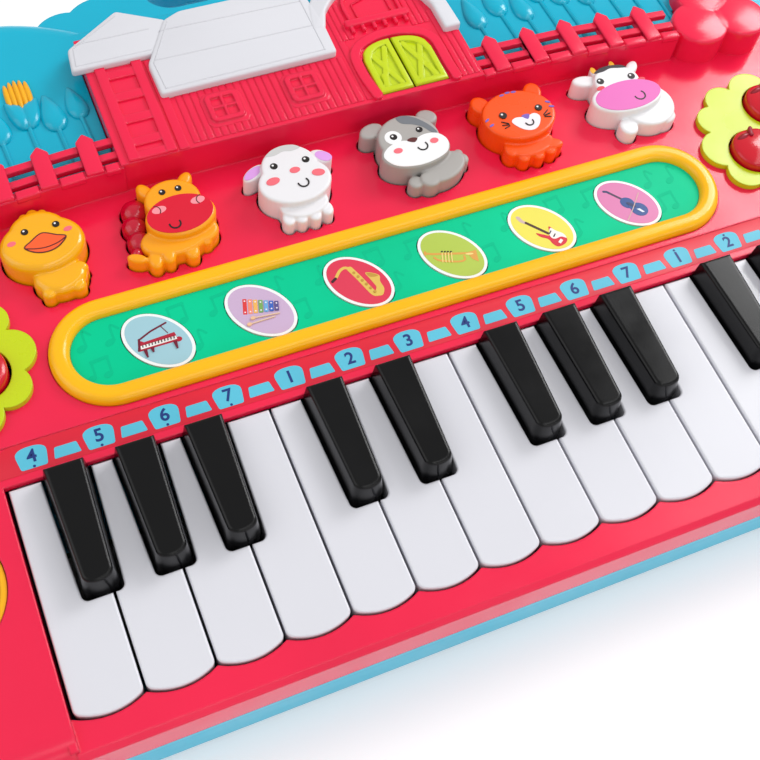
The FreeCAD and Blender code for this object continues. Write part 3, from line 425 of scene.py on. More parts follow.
class Print:
    """Inks printed on a flat top round its middle x, y; each later shape lies a little higher."""

    STEP = 0.02

    def __init__(self, height, x, y):
        self.mesh = bmesh.new()
        self.height = height
        self.x, self.y = x, y
        self.materials = []
        self.layer = 0

    def slot(self, colour):
        material = ink(colour)
        if material not in self.materials:
            self.materials.append(material)
        return self.materials.index(material)

    def levels(self):
        self.layer += 1
        return self.height - 0.12, self.height + 0.05 + self.layer * self.STEP

    def patch(self, colour, points):
        plate(self.mesh, at(points, self.x, self.y), *self.levels(), slot=self.slot(colour))

    def line(self, colour, points, width=0.4):
        stroke(self.mesh, at(points, self.x, self.y), width, *self.levels(), slot=self.slot(colour))

    def outline(self, colour, points, width=0.4):
        band(self.mesh, at(points, self.x, self.y), width, *self.levels(), slot=self.slot(colour))

    def done(self, name, body):
        return piece(name, self.mesh, self.materials, body)


# ---------------- animal buttons
BUTTON_PITCH = 42.6
BUTTON_Y = 10.5
HEAD_TOP, EAR_TOP, BODY_TOP, FOOT_TOP = 44, 42, 41, 40.2
SKIRT_LOW = 32.4
# for each animal and height: (x, y, long radius, short radius, turn) about its own middle
ANIMALS = {
    "duck": {HEAD_TOP: [(-2.2, 3, 13.4, 10.4, 0), (-2.3, 7.2, 9.6, 8.6, 0)],
             EAR_TOP: [(-5.2, 15, 1.7, 1.7, 0), (-2.3, 15.8, 2, 2, 0), (0.7, 15.1, 1.7, 1.7, 0)],
             BODY_TOP: [(0, -8.4, 8.5, 6.8, 0), (6.2, -7.4, 3, 2.2, -20)],
             FOOT_TOP: [(-4.8, -13.4, 2.3, 2.3, 0), (4.4, -13.1, 2.6, 2.4, 0)]},
    "pony": {HEAD_TOP: [(-0.7, -0.6, 11.6, 8.1, 0), (-1.3, 6.2, 9.3, 8, 0)],
             EAR_TOP: [(-8.6, 13.4, 3.6, 2.3, 115), (5, 14, 3.6, 2.3, 50)],
             BODY_TOP: [(-4.5, -6.5, 11.5, 6.6, 0), (4.5, -6, 5.5, 5, 0), (-8.6, -12, 3.3, 2.3, 90)],
             FOOT_TOP: [(-13, -12.3, 3.3, 2.4, 90), (-1, -12.3, 3.3, 2.5, 90), (4.6, -9.2, 2.6, 2.3, 90),
                        (-18.2, -10, 3.3, 1.7, -28)]},
    "sheep": {HEAD_TOP: [(-3.6, 0.6, 12.5, 9.2, 0), (-3.2, 6.4, 9.8, 9.4, 3)],
              EAR_TOP: [(-14.9, 9.2, 4.8, 2.3, 28), (8.8, 9.2, 4, 2.6, -38)],
              BODY_TOP: [(-3.1, -6.9, 8.5, 5.5, 1)],
              FOOT_TOP: [(-9.9, -10.7, 2.7, 2.1, 88), (-5.7, -11.1, 2.8, 2.2, 91), (-1, -11.5, 2.7, 2.2, 89),
                         (3.6, -10.5, 2.9, 2.1, 92)]},
    "dog": {HEAD_TOP: [(-2.6, 0, 12.5, 7.2, 0), (-2.8, 5.6, 11, 10, 0)],
            EAR_TOP: [(-13.2, 13.9, 4.6, 3.1, 15), (7.6, 14, 3.8, 3.2, -20)],
            BODY_TOP: [(5.5, -7.4, 8.6, 5.2, 22), (-1.4, -10.6, 3.6, 3.4, 0)],
            FOOT_TOP: [(-6.4, -10, 2.6, 2.6, 0), (12.6, -3, 1.7, 1.7, 0), (13.2, -5.6, 2.2, 2, 90)]},
    "tiger": {HEAD_TOP: [(-4.2, 3.4, 13.6, 10.9, 0)],
              EAR_TOP: [(-14.4, 12.8, 4.2, 3.4, 110), (6.2, 13.1, 4.2, 3.4, 70)],
              BODY_TOP: [(-4.4, -7.4, 9, 5.4, 0), (-11.6, -7.4, 3.6, 2.6, 75), (3, -9.6, 4.2, 2.2, -18)],
              FOOT_TOP: [(-8.4, -11.6, 2.2, 2.2, 0), (-3, -12, 2.3, 2.2, 90), (2, -11.4, 2.2, 2.2, 0)]},
    "cow": {HEAD_TOP: [(-5.2, -0.7, 13.8, 7.2, -2), (-5.5, 6.4, 8.8, 8, 2)],
            EAR_TOP: [(-15.5, 11.6, 5, 2.6, -13), (4.4, 12.6, 3.4, 2, 42), (-10.6, 14.1, 2.6, 1.2, 88),
                      (-2.4, 14.6, 2.4, 1.2, 95)],
            BODY_TOP: [(2.1, -4.4, 10.2, 9.6, 0)],
            FOOT_TOP: [(-8.8, -11, 3.7, 3.4, 87), (6.6, -11, 4, 2.8, 12)]},
}
MANE_LOBES = [(-13.6, 9.4, 4.4, 4.4, 0), (-15.4, 3.4, 4.2, 4, 90), (-15.6, -2.6, 4, 3.8, 90)]
EDGE_ROUND = {"duck": 2.6, "pony": 1.5}


def button_x(index):
    return BUTTON_PITCH * (index - (len(ANIMALS) - 1) / 2)


def animal_body(index, name):
    mesh = bmesh.new()
    x0 = button_x(index)
    edge = EDGE_ROUND.get(name, 0.9)
    for top, ovals in ANIMALS[name].items():
        for x, y, long, short, turn in ovals:
            plate(mesh, oval(x0 + x, BUTTON_Y + y, long, short, turn), SKIRT_LOW, top, min(edge, short * 0.7))
    body = piece("animal_" + name, mesh, [SKINS[name]], "animal_button_" + name)
    melt(body, voxel=0.3, smooth=3)
    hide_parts("animal_button_" + name)


def pony_mane():
    mesh = bmesh.new()
    x0 = button_x(1)
    for x, y, long, short, turn in MANE_LOBES:
        mound(mesh, oval(x0 + x, BUTTON_Y + y, long, short, turn), SKIRT_LOW, FOOT_TOP, wall=4.6)
    mound(mesh, oval(x0 - 17.6, BUTTON_Y - 7.4, 2.6, 2.2, 60), SKIRT_LOW, FOOT_TOP - 0.4, wall=4.4)
    piece("pony_mane", mesh, [MANE], "animal_button_pony")


BLACK, SHINE = (26, 18, 18), (245, 245, 245)
CORAL, BROWN = (243, 110, 122), (92, 34, 34)
PURPLE, MUZZLE_RED, LILAC = (124, 98, 190), (222, 0, 44), (222, 160, 232)


def eye(p, x, y, radius=1.25):
    p.patch(BLACK, oval(x, y, radius, radius, count=20))
    p.patch(SHINE, oval(x - radius * 0.2, y + radius * 0.28, radius * 0.3, radius * 0.3, count=10))


def smile(p, x, y, radius, start=-175, stop=30, width=0.5):
    p.line(BLACK, arc(x, y, radius, start, stop), width)


def duck_face(p):
    for dx, dy in ((-11.2, 4.4), (6.7, 4.8)):
        p.patch(CORAL, oval(dx, dy, 1.4, 0.9, 8))
    upper = spline([(-8, 1.6), (-5.6, 3.6), (-1.4, 5.8), (2.8, 3.8), (5.6, 2.2), (2.6, -0.9), (-1.2, -2),
                    (-5.2, -1.1)])
    p.patch((252, 96, 44), upper)
    p.outline(BROWN, upper, 0.42)
    p.line(BROWN, spline([(-7.4, 1.2), (-4.6, 0.3), (-1.2, -0.1), (2.6, 0.6), (5, 1.8)], closed=False), 0.4)
    eye(p, -6.3, 7.6, 1.15)
    eye(p, 3.6, 7.6, 1.15)


def pony_face(p):
    p.patch(MUZZLE_RED, oval(-0.8, -0.5, 10.9, 7.3, 2, count=56))
    for dx, lean in ((-6.8, 20), (6.1, 160)):
        p.patch((246, 150, 160), oval(dx, 2.7, 2.4, 1.4, 6))
        p.line(BROWN, arc(dx - math.cos(math.radians(lean)) * 1.6, 2.6, 1.9, lean - 62, lean + 62), 0.35)
    smile(p, -3.6, -4, 1.8, -185, 20, 0.55)
    eye(p, -3.8, 9.2, 1.1)
    eye(p, 1.6, 9.2, 1.1)


def sheep_face(p):
    p.patch((206, 207, 206), spline([(-9.6, 12.6), (-7, 14.6), (-3.2, 15.4), (0.6, 14.8), (2.6, 13),
                                     (-0.4, 12.4), (-3.4, 13), (-6.4, 12.2)]))
    eye(p, -8.4, 8, 1.3)
    eye(p, 2.7, 7.5, 1.3)
    p.patch(CORAL, oval(-2.3, 4.4, 1.8, 1.2))
    p.patch(CORAL, oval(-10.8, 2.1, 2.4, 1.45, 8))
    p.patch(CORAL, oval(4.8, 1.1, 2.2, 1.4, -12))
    smile(p, -1.4, -1.3, 1.8, -180, 38)


def dog_face(p):
    p.patch((116, 120, 126), spline([(-4, 14.8), (-0.6, 14.8), (3, 12.4), (6, 8.4), (7.4, 4.8), (5.4, 5.4),
                                     (3.4, 8.4), (0.6, 10.4), (-3, 12)]))
    p.patch((240, 240, 240), oval(-8.2, 7, 3, 2.9))
    p.patch((240, 240, 240), spline([(-14.4, 0), (-11.6, 3.4), (-6.6, 4.8), (-2.2, 3.9), (2.6, 5.2),
                                     (7.2, 4.2), (9.4, 0.4), (7.4, -4), (1.6, -6.2), (-5, -6.6),
                                     (-11.6, -4.6)]))
    eye(p, -8, 7.2, 1.3)
    eye(p, 1.8, 7.6, 1.2)
    p.patch(BROWN, spline([(-4.2, 4.3), (-2.2, 5), (-0.4, 4.2), (-2, 2.9)]))
    p.patch(CORAL, oval(-8.8, 1.1, 1.6, 1.1))
    p.patch(CORAL, oval(4.8, 1.5, 1.5, 1.1))
    smile(p, 0, 0.6, 1.8, -170, 32)


def tiger_face(p):
    for dx, dy, turn in ((-6.6, 12.9, 5), (-4.2, 13.4, 0), (-1.9, 13.1, -5), (-16.4, 4, 30), (-15.8, 1.4, 20),
                         (7.9, 5.2, -30), (8.3, 2.9, -20)):
        p.patch(PURPLE, oval(dx, dy, 1, 0.42, turn, count=16))
    p.patch((248, 238, 244), spline([(-8.4, 0.4), (-6.4, 1.9), (-2.6, 1.3), (0.8, 1.9), (2.3, 0), (0.4, -3.4),
                                     (-2.6, -4.8), (-6, -3.4)]))
    p.patch(PURPLE, spline([(-4, 1.9), (-2.5, 2.4), (-1, 1.9), (-2.4, 0.1)]))
    for side, middle in ((-1, -9.8), (1, 4)):
        for lift in (-1, 0, 1):
            start = (middle, -0.2 + lift * 0.5)
            tip = (middle + side * (2.4 - abs(lift) * 0.3), 0.2 + lift * 1.5)
            p.line(BLACK, [start, tip], 0.32)
    eye(p, -10.2, 4.2, 1.4)
    eye(p, 3.5, 3.7, 1.3)
    smile(p, -2.5, -1.3, 1.5, -175, 20, 0.42)


def cow_face(p):
    p.patch((44, 36, 44), spline([(-12.2, 12.1), (-9.4, 13.6), (-5.4, 13.9), (-1.2, 13), (0.8, 11.4),
                                  (-2, 11.8), (-5.4, 12.6), (-8.6, 11.9)]))
    for dx, dy in ((-13.2, 5), (3.2, 4.4)):
        p.patch((224, 60, 76), oval(dx, dy, 1.6, 0.9, 4))
    p.patch((226, 104, 184), oval(-4.9, -0.7, 12.9, 6.4, 0, count=56))
    eye(p, -11.8, 8, 1.35)
    eye(p, 0.4, 6.9, 1.35)
    smile(p, -1, -2.2, 2, -175, 45)


FACES = {"duck": duck_face, "pony": pony_face, "sheep": sheep_face, "dog": dog_face, "tiger": tiger_face,
         "cow": cow_face}


def animal_buttons():
    names = list(ANIMALS)
    for index, name in enumerate(names):
        animal_body(index, name)
        face = Print(HEAD_TOP, button_x(index), BUTTON_Y)
        FACES[name](face)
        face.done(name + "_face", "animal_button_" + name)
    pony_mane()
    ears = Print(EAR_TOP, button_x(names.index("sheep")), BUTTON_Y)
    ears.patch(LILAC, oval(-15.4, 9, 3.8, 1.6, 28))
    ears.patch(LILAC, oval(9.6, 8.6, 3, 1.9, -38))
    ears.done("sheep_ears", "animal_button_sheep")
    horns = Print(EAR_TOP, button_x(names.index("cow")), BUTTON_Y)
    for x, y in ((-10.6, 15), (-2.5, 15.6)):
        horns.patch((250, 196, 60), oval(x, y, 1.5, 0.95, 90))
    horns.done("cow_horns", "animal_button_cow")


# ---------------- apples
def apple_buttons():
    for name in NODES:
        if not name.startswith("apple_button"):
            continue
        low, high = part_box(name)
        x, y = (low.x + high.x) / 2 / MM, (low.y + high.y) / 2 / MM
        radius, top = 8.9, high.z / MM
        mesh = bmesh.new()
        outline = []
        for t in (2 * math.pi * i / 48 for i in range(48)):
            wide = 1 - 0.05 * math.sin(t) ** 8 - 0.03 * abs(math.sin(t + math.pi / 2)) ** 3
            tall = 1 - 0.07 * max(0, math.sin(t)) ** 12
            outline.append((x + radius * wide * math.cos(t), y + radius * tall * math.sin(t)))
        mound(mesh, outline, SKIRT_LOW, top, wall=top - SKIRT_LOW - 2.3, steps=10)
        fruit = piece("fruit_" + name[13:], mesh, [APPLE], name)
        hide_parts(name)
        mesh = bmesh.new()
        stroke(mesh, [(x - 0.4, y + 4.6), (x - 0.2, y + 6), (x + 0.5, y + 7.2)], 1.5, top - 2.2, top + 0.1,
               crown=0.3)
        leaf = [(0.3, 0.4), (-1.6, 1.3), (-3.8, 1), (-5.6, -0.2), (-4, -1.3), (-1.6, -1.1)]
        mound(mesh, at(spline(leaf), x - 0.4, y + 5), top - 2.4, top + 0.2, wall=1)
        piece("leaf_" + name[13:], mesh, [STALK], name)


# ---------------- instrument panel
PAD_PITCH = 33.6
PANEL_Y = -27.0
OVERLAY_TOP = 35.2
PAD_FILL = {"piano": (158, 200, 212), "xylophone": (202, 174, 206), "saxophone": (222, 52, 82),
            "trumpet": (178, 200, 78), "guitar": (234, 222, 84), "violin": (214, 120, 170)}


def pad_piano(p):
    wood, deep = (176, 22, 50), (110, 14, 44)
    p.patch(wood, [(-6.3, 0.6), (-5, -0.5), (4.9, 0), (5.1, -1.3), (5.1, -3.4), (-7.2, -3.4), (-6.6, -2)])
    p.patch(wood, oval(5.4, -2.9, 1.1, 0.9))
    p.line(deep, [(-6.2, 0.7), (-2, 2.6), (3.4, 4.1)], 0.6)
    p.line(deep, [(-6.2, 0.8), (-6.9, -2), (-7.3, -3)], 0.7)
    p.line(deep, [(1.6, 3.2), (2.9, 0.3)], 0.25)
    p.patch((240, 236, 232), [(-6.4, -1.6), (5, -1.5), (5, -2.7), (-6.6, -2.8)])
    for i in range(11):
        p.line((40, 20, 24), [(-5.7 + i, -1.6), (-5.8 + i, -2.2)], 0.34)
    for dx, low in ((-5.4, -6.1), (-3.2, -4.9), (4.1, -6)):
        p.patch(deep, [(dx - 0.6, -3.4), (dx + 0.6, -3.4), (dx + 0.25, low), (dx - 0.25, low)])


def pad_xylophone(p):
    colours = [(222, 60, 60), (244, 140, 110), (240, 180, 90), (120, 170, 90), (110, 170, 220),
               (60, 100, 190), (90, 80, 140)]
    for i, colour in enumerate(colours):
        middle = (-5 + i * 1.6, 1.6 - i * 0.5)
        half = 2.9 - i * 0.2
        bar = at([(-0.65, -half), (0.65, -half), (0.65, half), (-0.65, half)], middle[0], middle[1], -16)
        p.patch(colour, bar)
        for end in (-1, 1):
            spot = at([(0, end * (half - 0.8))], middle[0], middle[1], -16)[0]
            p.patch((238, 228, 236), oval(*spot, 0.28, 0.28, count=10))
    for low, lift in (((-5.8, -5.2), 0.2), ((-4, -3.4), -0.9)):
        p.line((228, 196, 170), [low, (low[0] + 8.5, low[1] + lift)], 0.35)
        p.patch((234, 190, 150), oval(low[0], low[1], 0.8, 0.6))


def pad_saxophone(p):
    gold, shade = (226, 190, 88), (196, 150, 60)
    p.line(gold, spline([(-7, 2.6), (-5, 4.6), (-3, 5.2), (-1.4, 4)], closed=False), 1.0)
    p.line(gold, spline([(-1.6, 4.2), (0, 0), (1.4, -4.4), (2.6, -7.2), (4.4, -7.4)], closed=False), 1.9)
    p.patch(gold, spline([(2.2, -7.6), (4.6, -8.6), (6.2, -6.4), (6, -3.4), (6.6, -1.2), (4.6, 0.6),
                          (2.6, 1.2), (3.2, -1.4), (4, -4.6), (3.6, -5.8)]))
    p.patch(shade, spline([(2.9, 1), (4.6, 0.4), (6.2, -1), (5, -1.2), (3.4, -0.6)]))
    p.line((60, 24, 30), [(-8.8, 1.4), (-7.4, 2.2)], 0.9)
    for i in range(6):
        p.patch(shade, oval(-0.9 + i * 0.75, 2.4 - i * 1.8, 0.5, 0.5, count=12))


def pad_trumpet(p):
    brass, pale, dark = (222, 160, 72), (240, 214, 130), (52, 44, 30)
    p.line(brass, [(-9, 1.8), (-7, 0.9), (5.2, -2.8)], 0.8)
    p.line(brass, spline([(-7, -0.6), (-5.4, -2.4), (0, -4.6), (2.4, -4.6), (2.8, -3.2)], closed=False), 0.7)
    p.patch(brass, [(4.2, -2.2), (7.6, -2.2), (6.6, -6.8), (5, -5.2)])
    p.patch(brass, oval(-9.2, 1.9, 0.5, 0.9, -15))
    p.patch(pale, oval(4.8, -3, 1.4, 0.4, -14))
    for i in range(4):
        p.line(pale, [(-3.8 + i, 0.2 - i * 0.3), (-5 + i, -3.2 - i * 0.3)], 0.4)
        p.patch(dark, oval(-3.6 + i * 0.95, 0.8 - i * 0.35, 0.36, 0.26, count=10))


def pad_guitar(p):
    p.patch((206, 178, 170), spline([(-7.4, 5.6), (-6.2, 5.6), (-5.6, 3.8), (-4.6, 2.6), (-5.4, 2),
                                     (-6.8, 3.4)]))
    p.line((74, 40, 30), [(-5, 2.4), (0.4, -4)], 0.95)
    p.patch((214, 30, 52), spline([(-3.6, -2.6), (-1.4, -3.9), (0.6, -4.8), (1.8, -1.4), (3.2, -3.8),
                                   (4.6, -6), (5.6, -8), (4.2, -9.6), (1.4, -10), (0, -8.4), (-0.6, -6.2),
                                   (-2.8, -4.4)]))
    p.patch((242, 236, 232), spline([(0.6, -4.6), (2, -2.2), (3.4, -3.8), (5.2, -5.6), (5.6, -7.6), (4, -6.6),
                                     (2, -6.8), (0.8, -6.2)]))
    for dx, dy in ((0.8, -4.2), (1.6, -5.8)):
        p.line((30, 26, 30), [(dx, dy), (dx + 0.9, dy + 0.8)], 0.42)
    p.patch((240, 236, 232), [(2, -8.4), (3.4, -7.4), (4, -8.2), (2.6, -9.2)])


def pad_violin(p):
    navy, deep = (26, 70, 138), (28, 40, 92)
    p.line(deep, [(-6.6, 5.8), (-5.6, 5.4), (-4.8, 4.4)], 0.9)
    p.line((60, 40, 70), [(-4.8, 4.4), (-1.6, 0.4)], 0.8)
    p.patch(navy, oval(-0.8, -1.2, 2.6, 2.2, -45))
    p.patch(navy, oval(2, -5, 3.1, 2.7, -45))
    p.patch(navy, oval(0.5, -3, 1.7, 1.6, -45))
    p.patch(deep, oval(0.1, -2.4, 1.9, 0.7, -48))
    p.line((206, 170, 160), [(-4.2, -8), (0, -4), (5, 1.4)], 0.3)
    p.patch((226, 230, 240), [(1, -4.6), (2.2, -4.8), (3.2, -6.6), (2.4, -6.6)])


PICTURES = {"piano": pad_piano, "xylophone": pad_xylophone, "saxophone": pad_saxophone,
            "trumpet": pad_trumpet, "guitar": pad_guitar, "violin": pad_violin}


def instrument_pads():
    for name, draw in PICTURES.items():
        node = "instrument_pad_" + name
        low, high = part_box(node)
        x, y = (low.x + high.x) / 2 / MM, (low.y + high.y) / 2 / MM
        top = high.z / MM
        picture = Print(top, x, y)
        picture.patch(PAD_FILL[name], oval(0, 0, 11.3, 7.6, -50, count=60))
        picture.x, picture.y = x + 0.6, y + 1.2
        draw(picture)
        picture.done("picture_" + name, node)


def music_notes():
    """Tone-on-tone notes printed on the film between the pads; heads lie a hair above their stems."""
    mesh = bmesh.new()
    low, top = OVERLAY_TOP - 0.1, OVERLAY_TOP + 0.03
    for i in range(7):
        x = PAD_PITCH * (i - 3)
        for k, (dx, dy) in enumerate(((5, 6), (-5.5, -4.5), (-9.5, 6.5))):
            u, v = x + dx * (0.6 if i in (0, 6) else 1), PANEL_Y + dy
            if (i + k) % 2:
                for side in (-2.5, 2.5):
                    plate(mesh, oval(u + side - 0.6, v - 3.2, 1.5, 1.1, 25, count=18), low, top + 0.02)
                    stroke(mesh, [(u + side + 0.6, v - 3), (u + side + 0.6, v + 2.6)], 0.8, low, top)
                stroke(mesh, [(u - 1.9, v + 2.5), (u + 3.1, v + 3)], 1.2, low, top + 0.02)
            else:
                plate(mesh, oval(u - 0.8, v - 3, 1.7, 1.2, 25, count=18), low, top + 0.02)
                stroke(mesh, spline([(u + 0.7, v - 2.6), (u + 0.8, v + 3), (u + 3, v + 1.2)], closed=False),
                       0.8, low, top)
    piece("music_notes", mesh, [NOTE_INK], CASE)


# ---------------- label strip
DECK = 35.0
STRIP_LOW, STRIP_TOP = 34.5, 35.0
STRIP_FRONT, STRIP_BACK, STRIP_HALF = -58.4, -48.5, 141.8
KEY_PITCH = 20.0
DIGITS = [(digit, octave) for octave, row in ((-1, "4567"), (0, "1234567"), (1, "123")) for digit in row]


def text_mesh(words, height, x, y, low, thick):
    """The built-in font's letters as a flat closed mesh, centred on x, y."""
    curve = bpy.data.curves.new("letters", "FONT")
    curve.body = words
    curve.size = height * 1.4 * MM
    curve.align_x = "CENTER"
    curve.align_y = "CENTER"
    curve.extrude = thick / 2 * MM
    curve.offset = 0.12 * MM
    holder = bpy.data.objects.new("letters", curve)
    bpy.context.scene.collection.objects.link(holder)
    bpy.context.view_layer.update()
    made = bpy.data.meshes.new_from_object(holder.evaluated_get(bpy.context.evaluated_depsgraph_get()))
    bpy.data.objects.remove(holder)
    made.transform(Matrix.Translation((x * MM, y * MM, (low + thick / 2) * MM)))
    return made


def label_strip():
    mesh = bmesh.new()
    round_back = 6.5
    outline = [(-STRIP_HALF, STRIP_FRONT), (STRIP_HALF, STRIP_FRONT)]
    outline += arc(STRIP_HALF - round_back, STRIP_BACK - round_back, round_back, 0, 90)
    outline += arc(-STRIP_HALF + round_back, STRIP_BACK - round_back, round_back, 90, 180)
    plate(mesh, outline, STRIP_LOW, STRIP_TOP, 0.2, 2)
    piece("label_strip", mesh, [STRIP_RED], CASE)
    mesh = bmesh.new()
    digits = bmesh.new()
    low, top = STRIP_TOP - 0.1, STRIP_TOP + 0.06
    for i, (digit, octave) in enumerate(DIGITS):
        x = KEY_PITCH * (i - (len(DIGITS) - 1) / 2) - 0.6
        tab = [(-3.9, -57.4), (3.9, -57.4), (4.6, -53), (4.5, -51.6), (3.2, -50.6), (1.4, -50.2),
               (-1.4, -50.2), (-3.2, -50.6), (-4.5, -51.6), (-4.6, -53)]
        plate(mesh, soft_corners(at(tab, x, 0), 0.7, 3), low, top)
        if i + 1 < len(DIGITS):
            bar = [(6, -56.7), (14, -56.7), (13.3, -53), (6.7, -53)]
            plate(mesh, soft_corners(at(bar, x, 0), 0.5, 3), low, top)
        digits.from_mesh(text_mesh(digit, 4.2, x, -53.9 + 0.3 * octave * -1, top - 0.05, 0.12))
        if octave:
            plate(digits, oval(x, -54 + octave * 2.9, 0.42, 0.42, count=14), top - 0.05, top + 0.07)
    piece("label_tabs", mesh, [LABEL_BLUE], CASE)
    piece("label_digits", digits, [NAVY], CASE)


# ---------------- barn
BARN_TOP = 48.0
ROOF_TOP = 51.0


def roof():
    annex = [(-82, 72.5), (-50, 72.5), (-45, 86.5), (-60.5, 95.4), (-80.8, 82.5)]
    main = [(-56.8, 53.7), (6.7, 54.4), (7, 66.3), (5, 89), (-39.7, 88.9), (-46, 86.2), (-57, 68)]
    trim = [(47.7, 53.6), (54.2, 53.6), (53.7, 66.3), (50.5, 77.5), (45.5, 84.5), (27.5, 97.5), (9.5, 84.5),
            (4.5, 77.5), (2, 66.3), (7, 66.3), (9.9, 74), (13.5, 78), (27.5, 89), (41.5, 78), (45.1, 74),
            (47.7, 66.3)]
    mesh = bmesh.new()
    block(mesh, annex, 1.4, BARN_TOP, ROOF_TOP - 0.5, 0.9)
    block(mesh, main, 1.4, BARN_TOP, ROOF_TOP - 0.1, 0.9)
    block(mesh, trim, 1.4, BARN_TOP, ROOF_TOP, 0.9)
    cover = piece("roof_cover", mesh, [WHITE], CASE)
    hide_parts("barn_roof")
    mesh = bmesh.new()
    low_roof, high_roof = ROOF_TOP - 0.5, ROOF_TOP - 0.1
    for path, height in (([(-54, 74.2), (-80, 74.2), (-78.9, 82), (-61.2, 92.8)], low_roof),
                         ([(-78, 83.8), (-52, 83.8)], low_roof),
                         ([(2.8, 56.3), (-54.6, 55.6), (-55, 67.6), (-45, 84.6)], high_roof),
                         ([(-54, 68.7), (2.8, 68.3)], high_roof), ([(-48.6, 81.4), (2.8, 80.6)], high_roof),
                         ([(2.8, 56.3), (2.8, 87)], high_roof)):
        stroke(mesh, path, 0.5, height - 0.4, height + 0.02, crown=0.14)
    piece("roof_folds", mesh, [WHITE], CASE)


def planks(mesh, x_low, x_high, y_low, y_high, pitch=2.55, gap=0.36):
    """Upright boards side by side, with a groove between each two."""
    count = round((x_high - x_low) / pitch)
    step = (x_high - x_low) / count
    for i in range(count):
        block(mesh, box(x_low + i * step + gap / 2, x_low + (i + 1) * step - gap / 2, y_low, y_high), 0.12,
              BARN_TOP - 0.3, BARN_TOP + 0.28, 0.12, 2)


def barn_planks():
    mesh = bmesh.new()
    planks(mesh, -52.6, 8.6, 32.6, 54)
    planks(mesh, 45.4, 52.9, 32.6, 66)
    planks(mesh, 9.2, 16, 60.4, 78)
    planks(mesh, 38, 45.4, 60.4, 78)
    planks(mesh, 9.2, 12.2, 32.6, 60.4, pitch=3)
    piece("barn_planks", mesh, [RED], CASE)


def barn_windows(mesh):
    """Each window: a low surround and a rounded frame round four panes."""
    for x in (-37.9, -9.3):
        block(mesh, at([(-6, 36.4), (6, 36.4), (7.4, 38.6), (7.4, 49), (5.4, 51.4), (-5.4, 51.4), (-7.4, 49),
                        (-7.4, 38.6)], x, 0), 0.8, BARN_TOP - 0.3, BARN_TOP + 0.5, 0.2)
        frame_line = soft_corners(box(x - 4.9, x + 4.9, 39, 49.4), 1.6)
        stroke(mesh, frame_line + frame_line[:1], 1.9, BARN_TOP, BARN_TOP + 1.3, crown=0.12)
        stroke(mesh, [(x, 39.8), (x, 49)], 1.1, BARN_TOP, BARN_TOP + 1.25, crown=0.1)
        stroke(mesh, [(x - 4, 44.3), (x + 4, 44.3)], 1.1, BARN_TOP, BARN_TOP + 1.2, crown=0.1)


def barn_details():
    mesh = bmesh.new()
    # ladder on the low wing: two rails with wide rungs and sunk cells between them
    for x_low in (-74.6, -62):
        block(mesh, box(x_low, x_low + 3.6, 31.4, 75.4), 0.4, BARN_TOP - 0.3, BARN_TOP + 1.1, 0.35)
    for y_low, y_high in ((31.4, 34.6), (36.9, 40.5), (46.8, 50.5), (56.8, 60.5), (66.8, 70.5)):
        block(mesh, box(-71.4, -61.6, y_low, y_high), 0.2, BARN_TOP - 0.3, BARN_TOP + 0.9, 0.3)
    block(mesh, box(-57.6, -54.2, 31.2, 72), 0.4, BARN_TOP - 0.3, BARN_TOP + 0.7, 0.3)
    barn_windows(mesh)
    # frame round the doors
    frame_line = [(13.4, 33), (12.2, 41), (12.1, 48), (12.8, 52.5), (15.6, 56), (21.5, 58.5), (27.6, 59.3),
                  (33.7, 58.5), (39.6, 56), (42.4, 52.5), (43.1, 48), (43, 41), (43.3, 33)]
    stroke(mesh, spline(frame_line, closed=False), 3.6, BARN_TOP - 0.3, BARN_TOP + 1.2, crown=0.1)
    # hayloft: ledge on brackets with a hatch above
    block(mesh, box(14.3, 38.9, 64.9, 68), 0.9, BARN_TOP - 0.3, BARN_TOP + 2.2, 0.6)
    for x in (16.4, 20.5, 24.7, 28.8, 32.9, 37):
        block(mesh, box(x - 0.65, x + 0.65, 62.4, 65.4), 0.3, BARN_TOP - 0.3, BARN_TOP + 1.5, 0.3)
    hatch = [(17.4, 68.4), (17.4, 77), (20.4, 81), (27, 82.6), (33.6, 81), (36.8, 77), (36.8, 68.4)]
    stroke(mesh, spline(hatch, closed=False), 1.3, BARN_TOP - 0.3, BARN_TOP + 1.1, crown=0.1)
    stroke(mesh, [(20.6, 70), (20.6, 76), (27, 78.4), (33.6, 76), (33.6, 70)], 0.7, BARN_TOP - 0.3,
           BARN_TOP + 0.6, crown=0.1)
    piece("barn_details", mesh, [RED], CASE)


DOOR_SEAT, DOOR_TOP = 46.8, 48.9


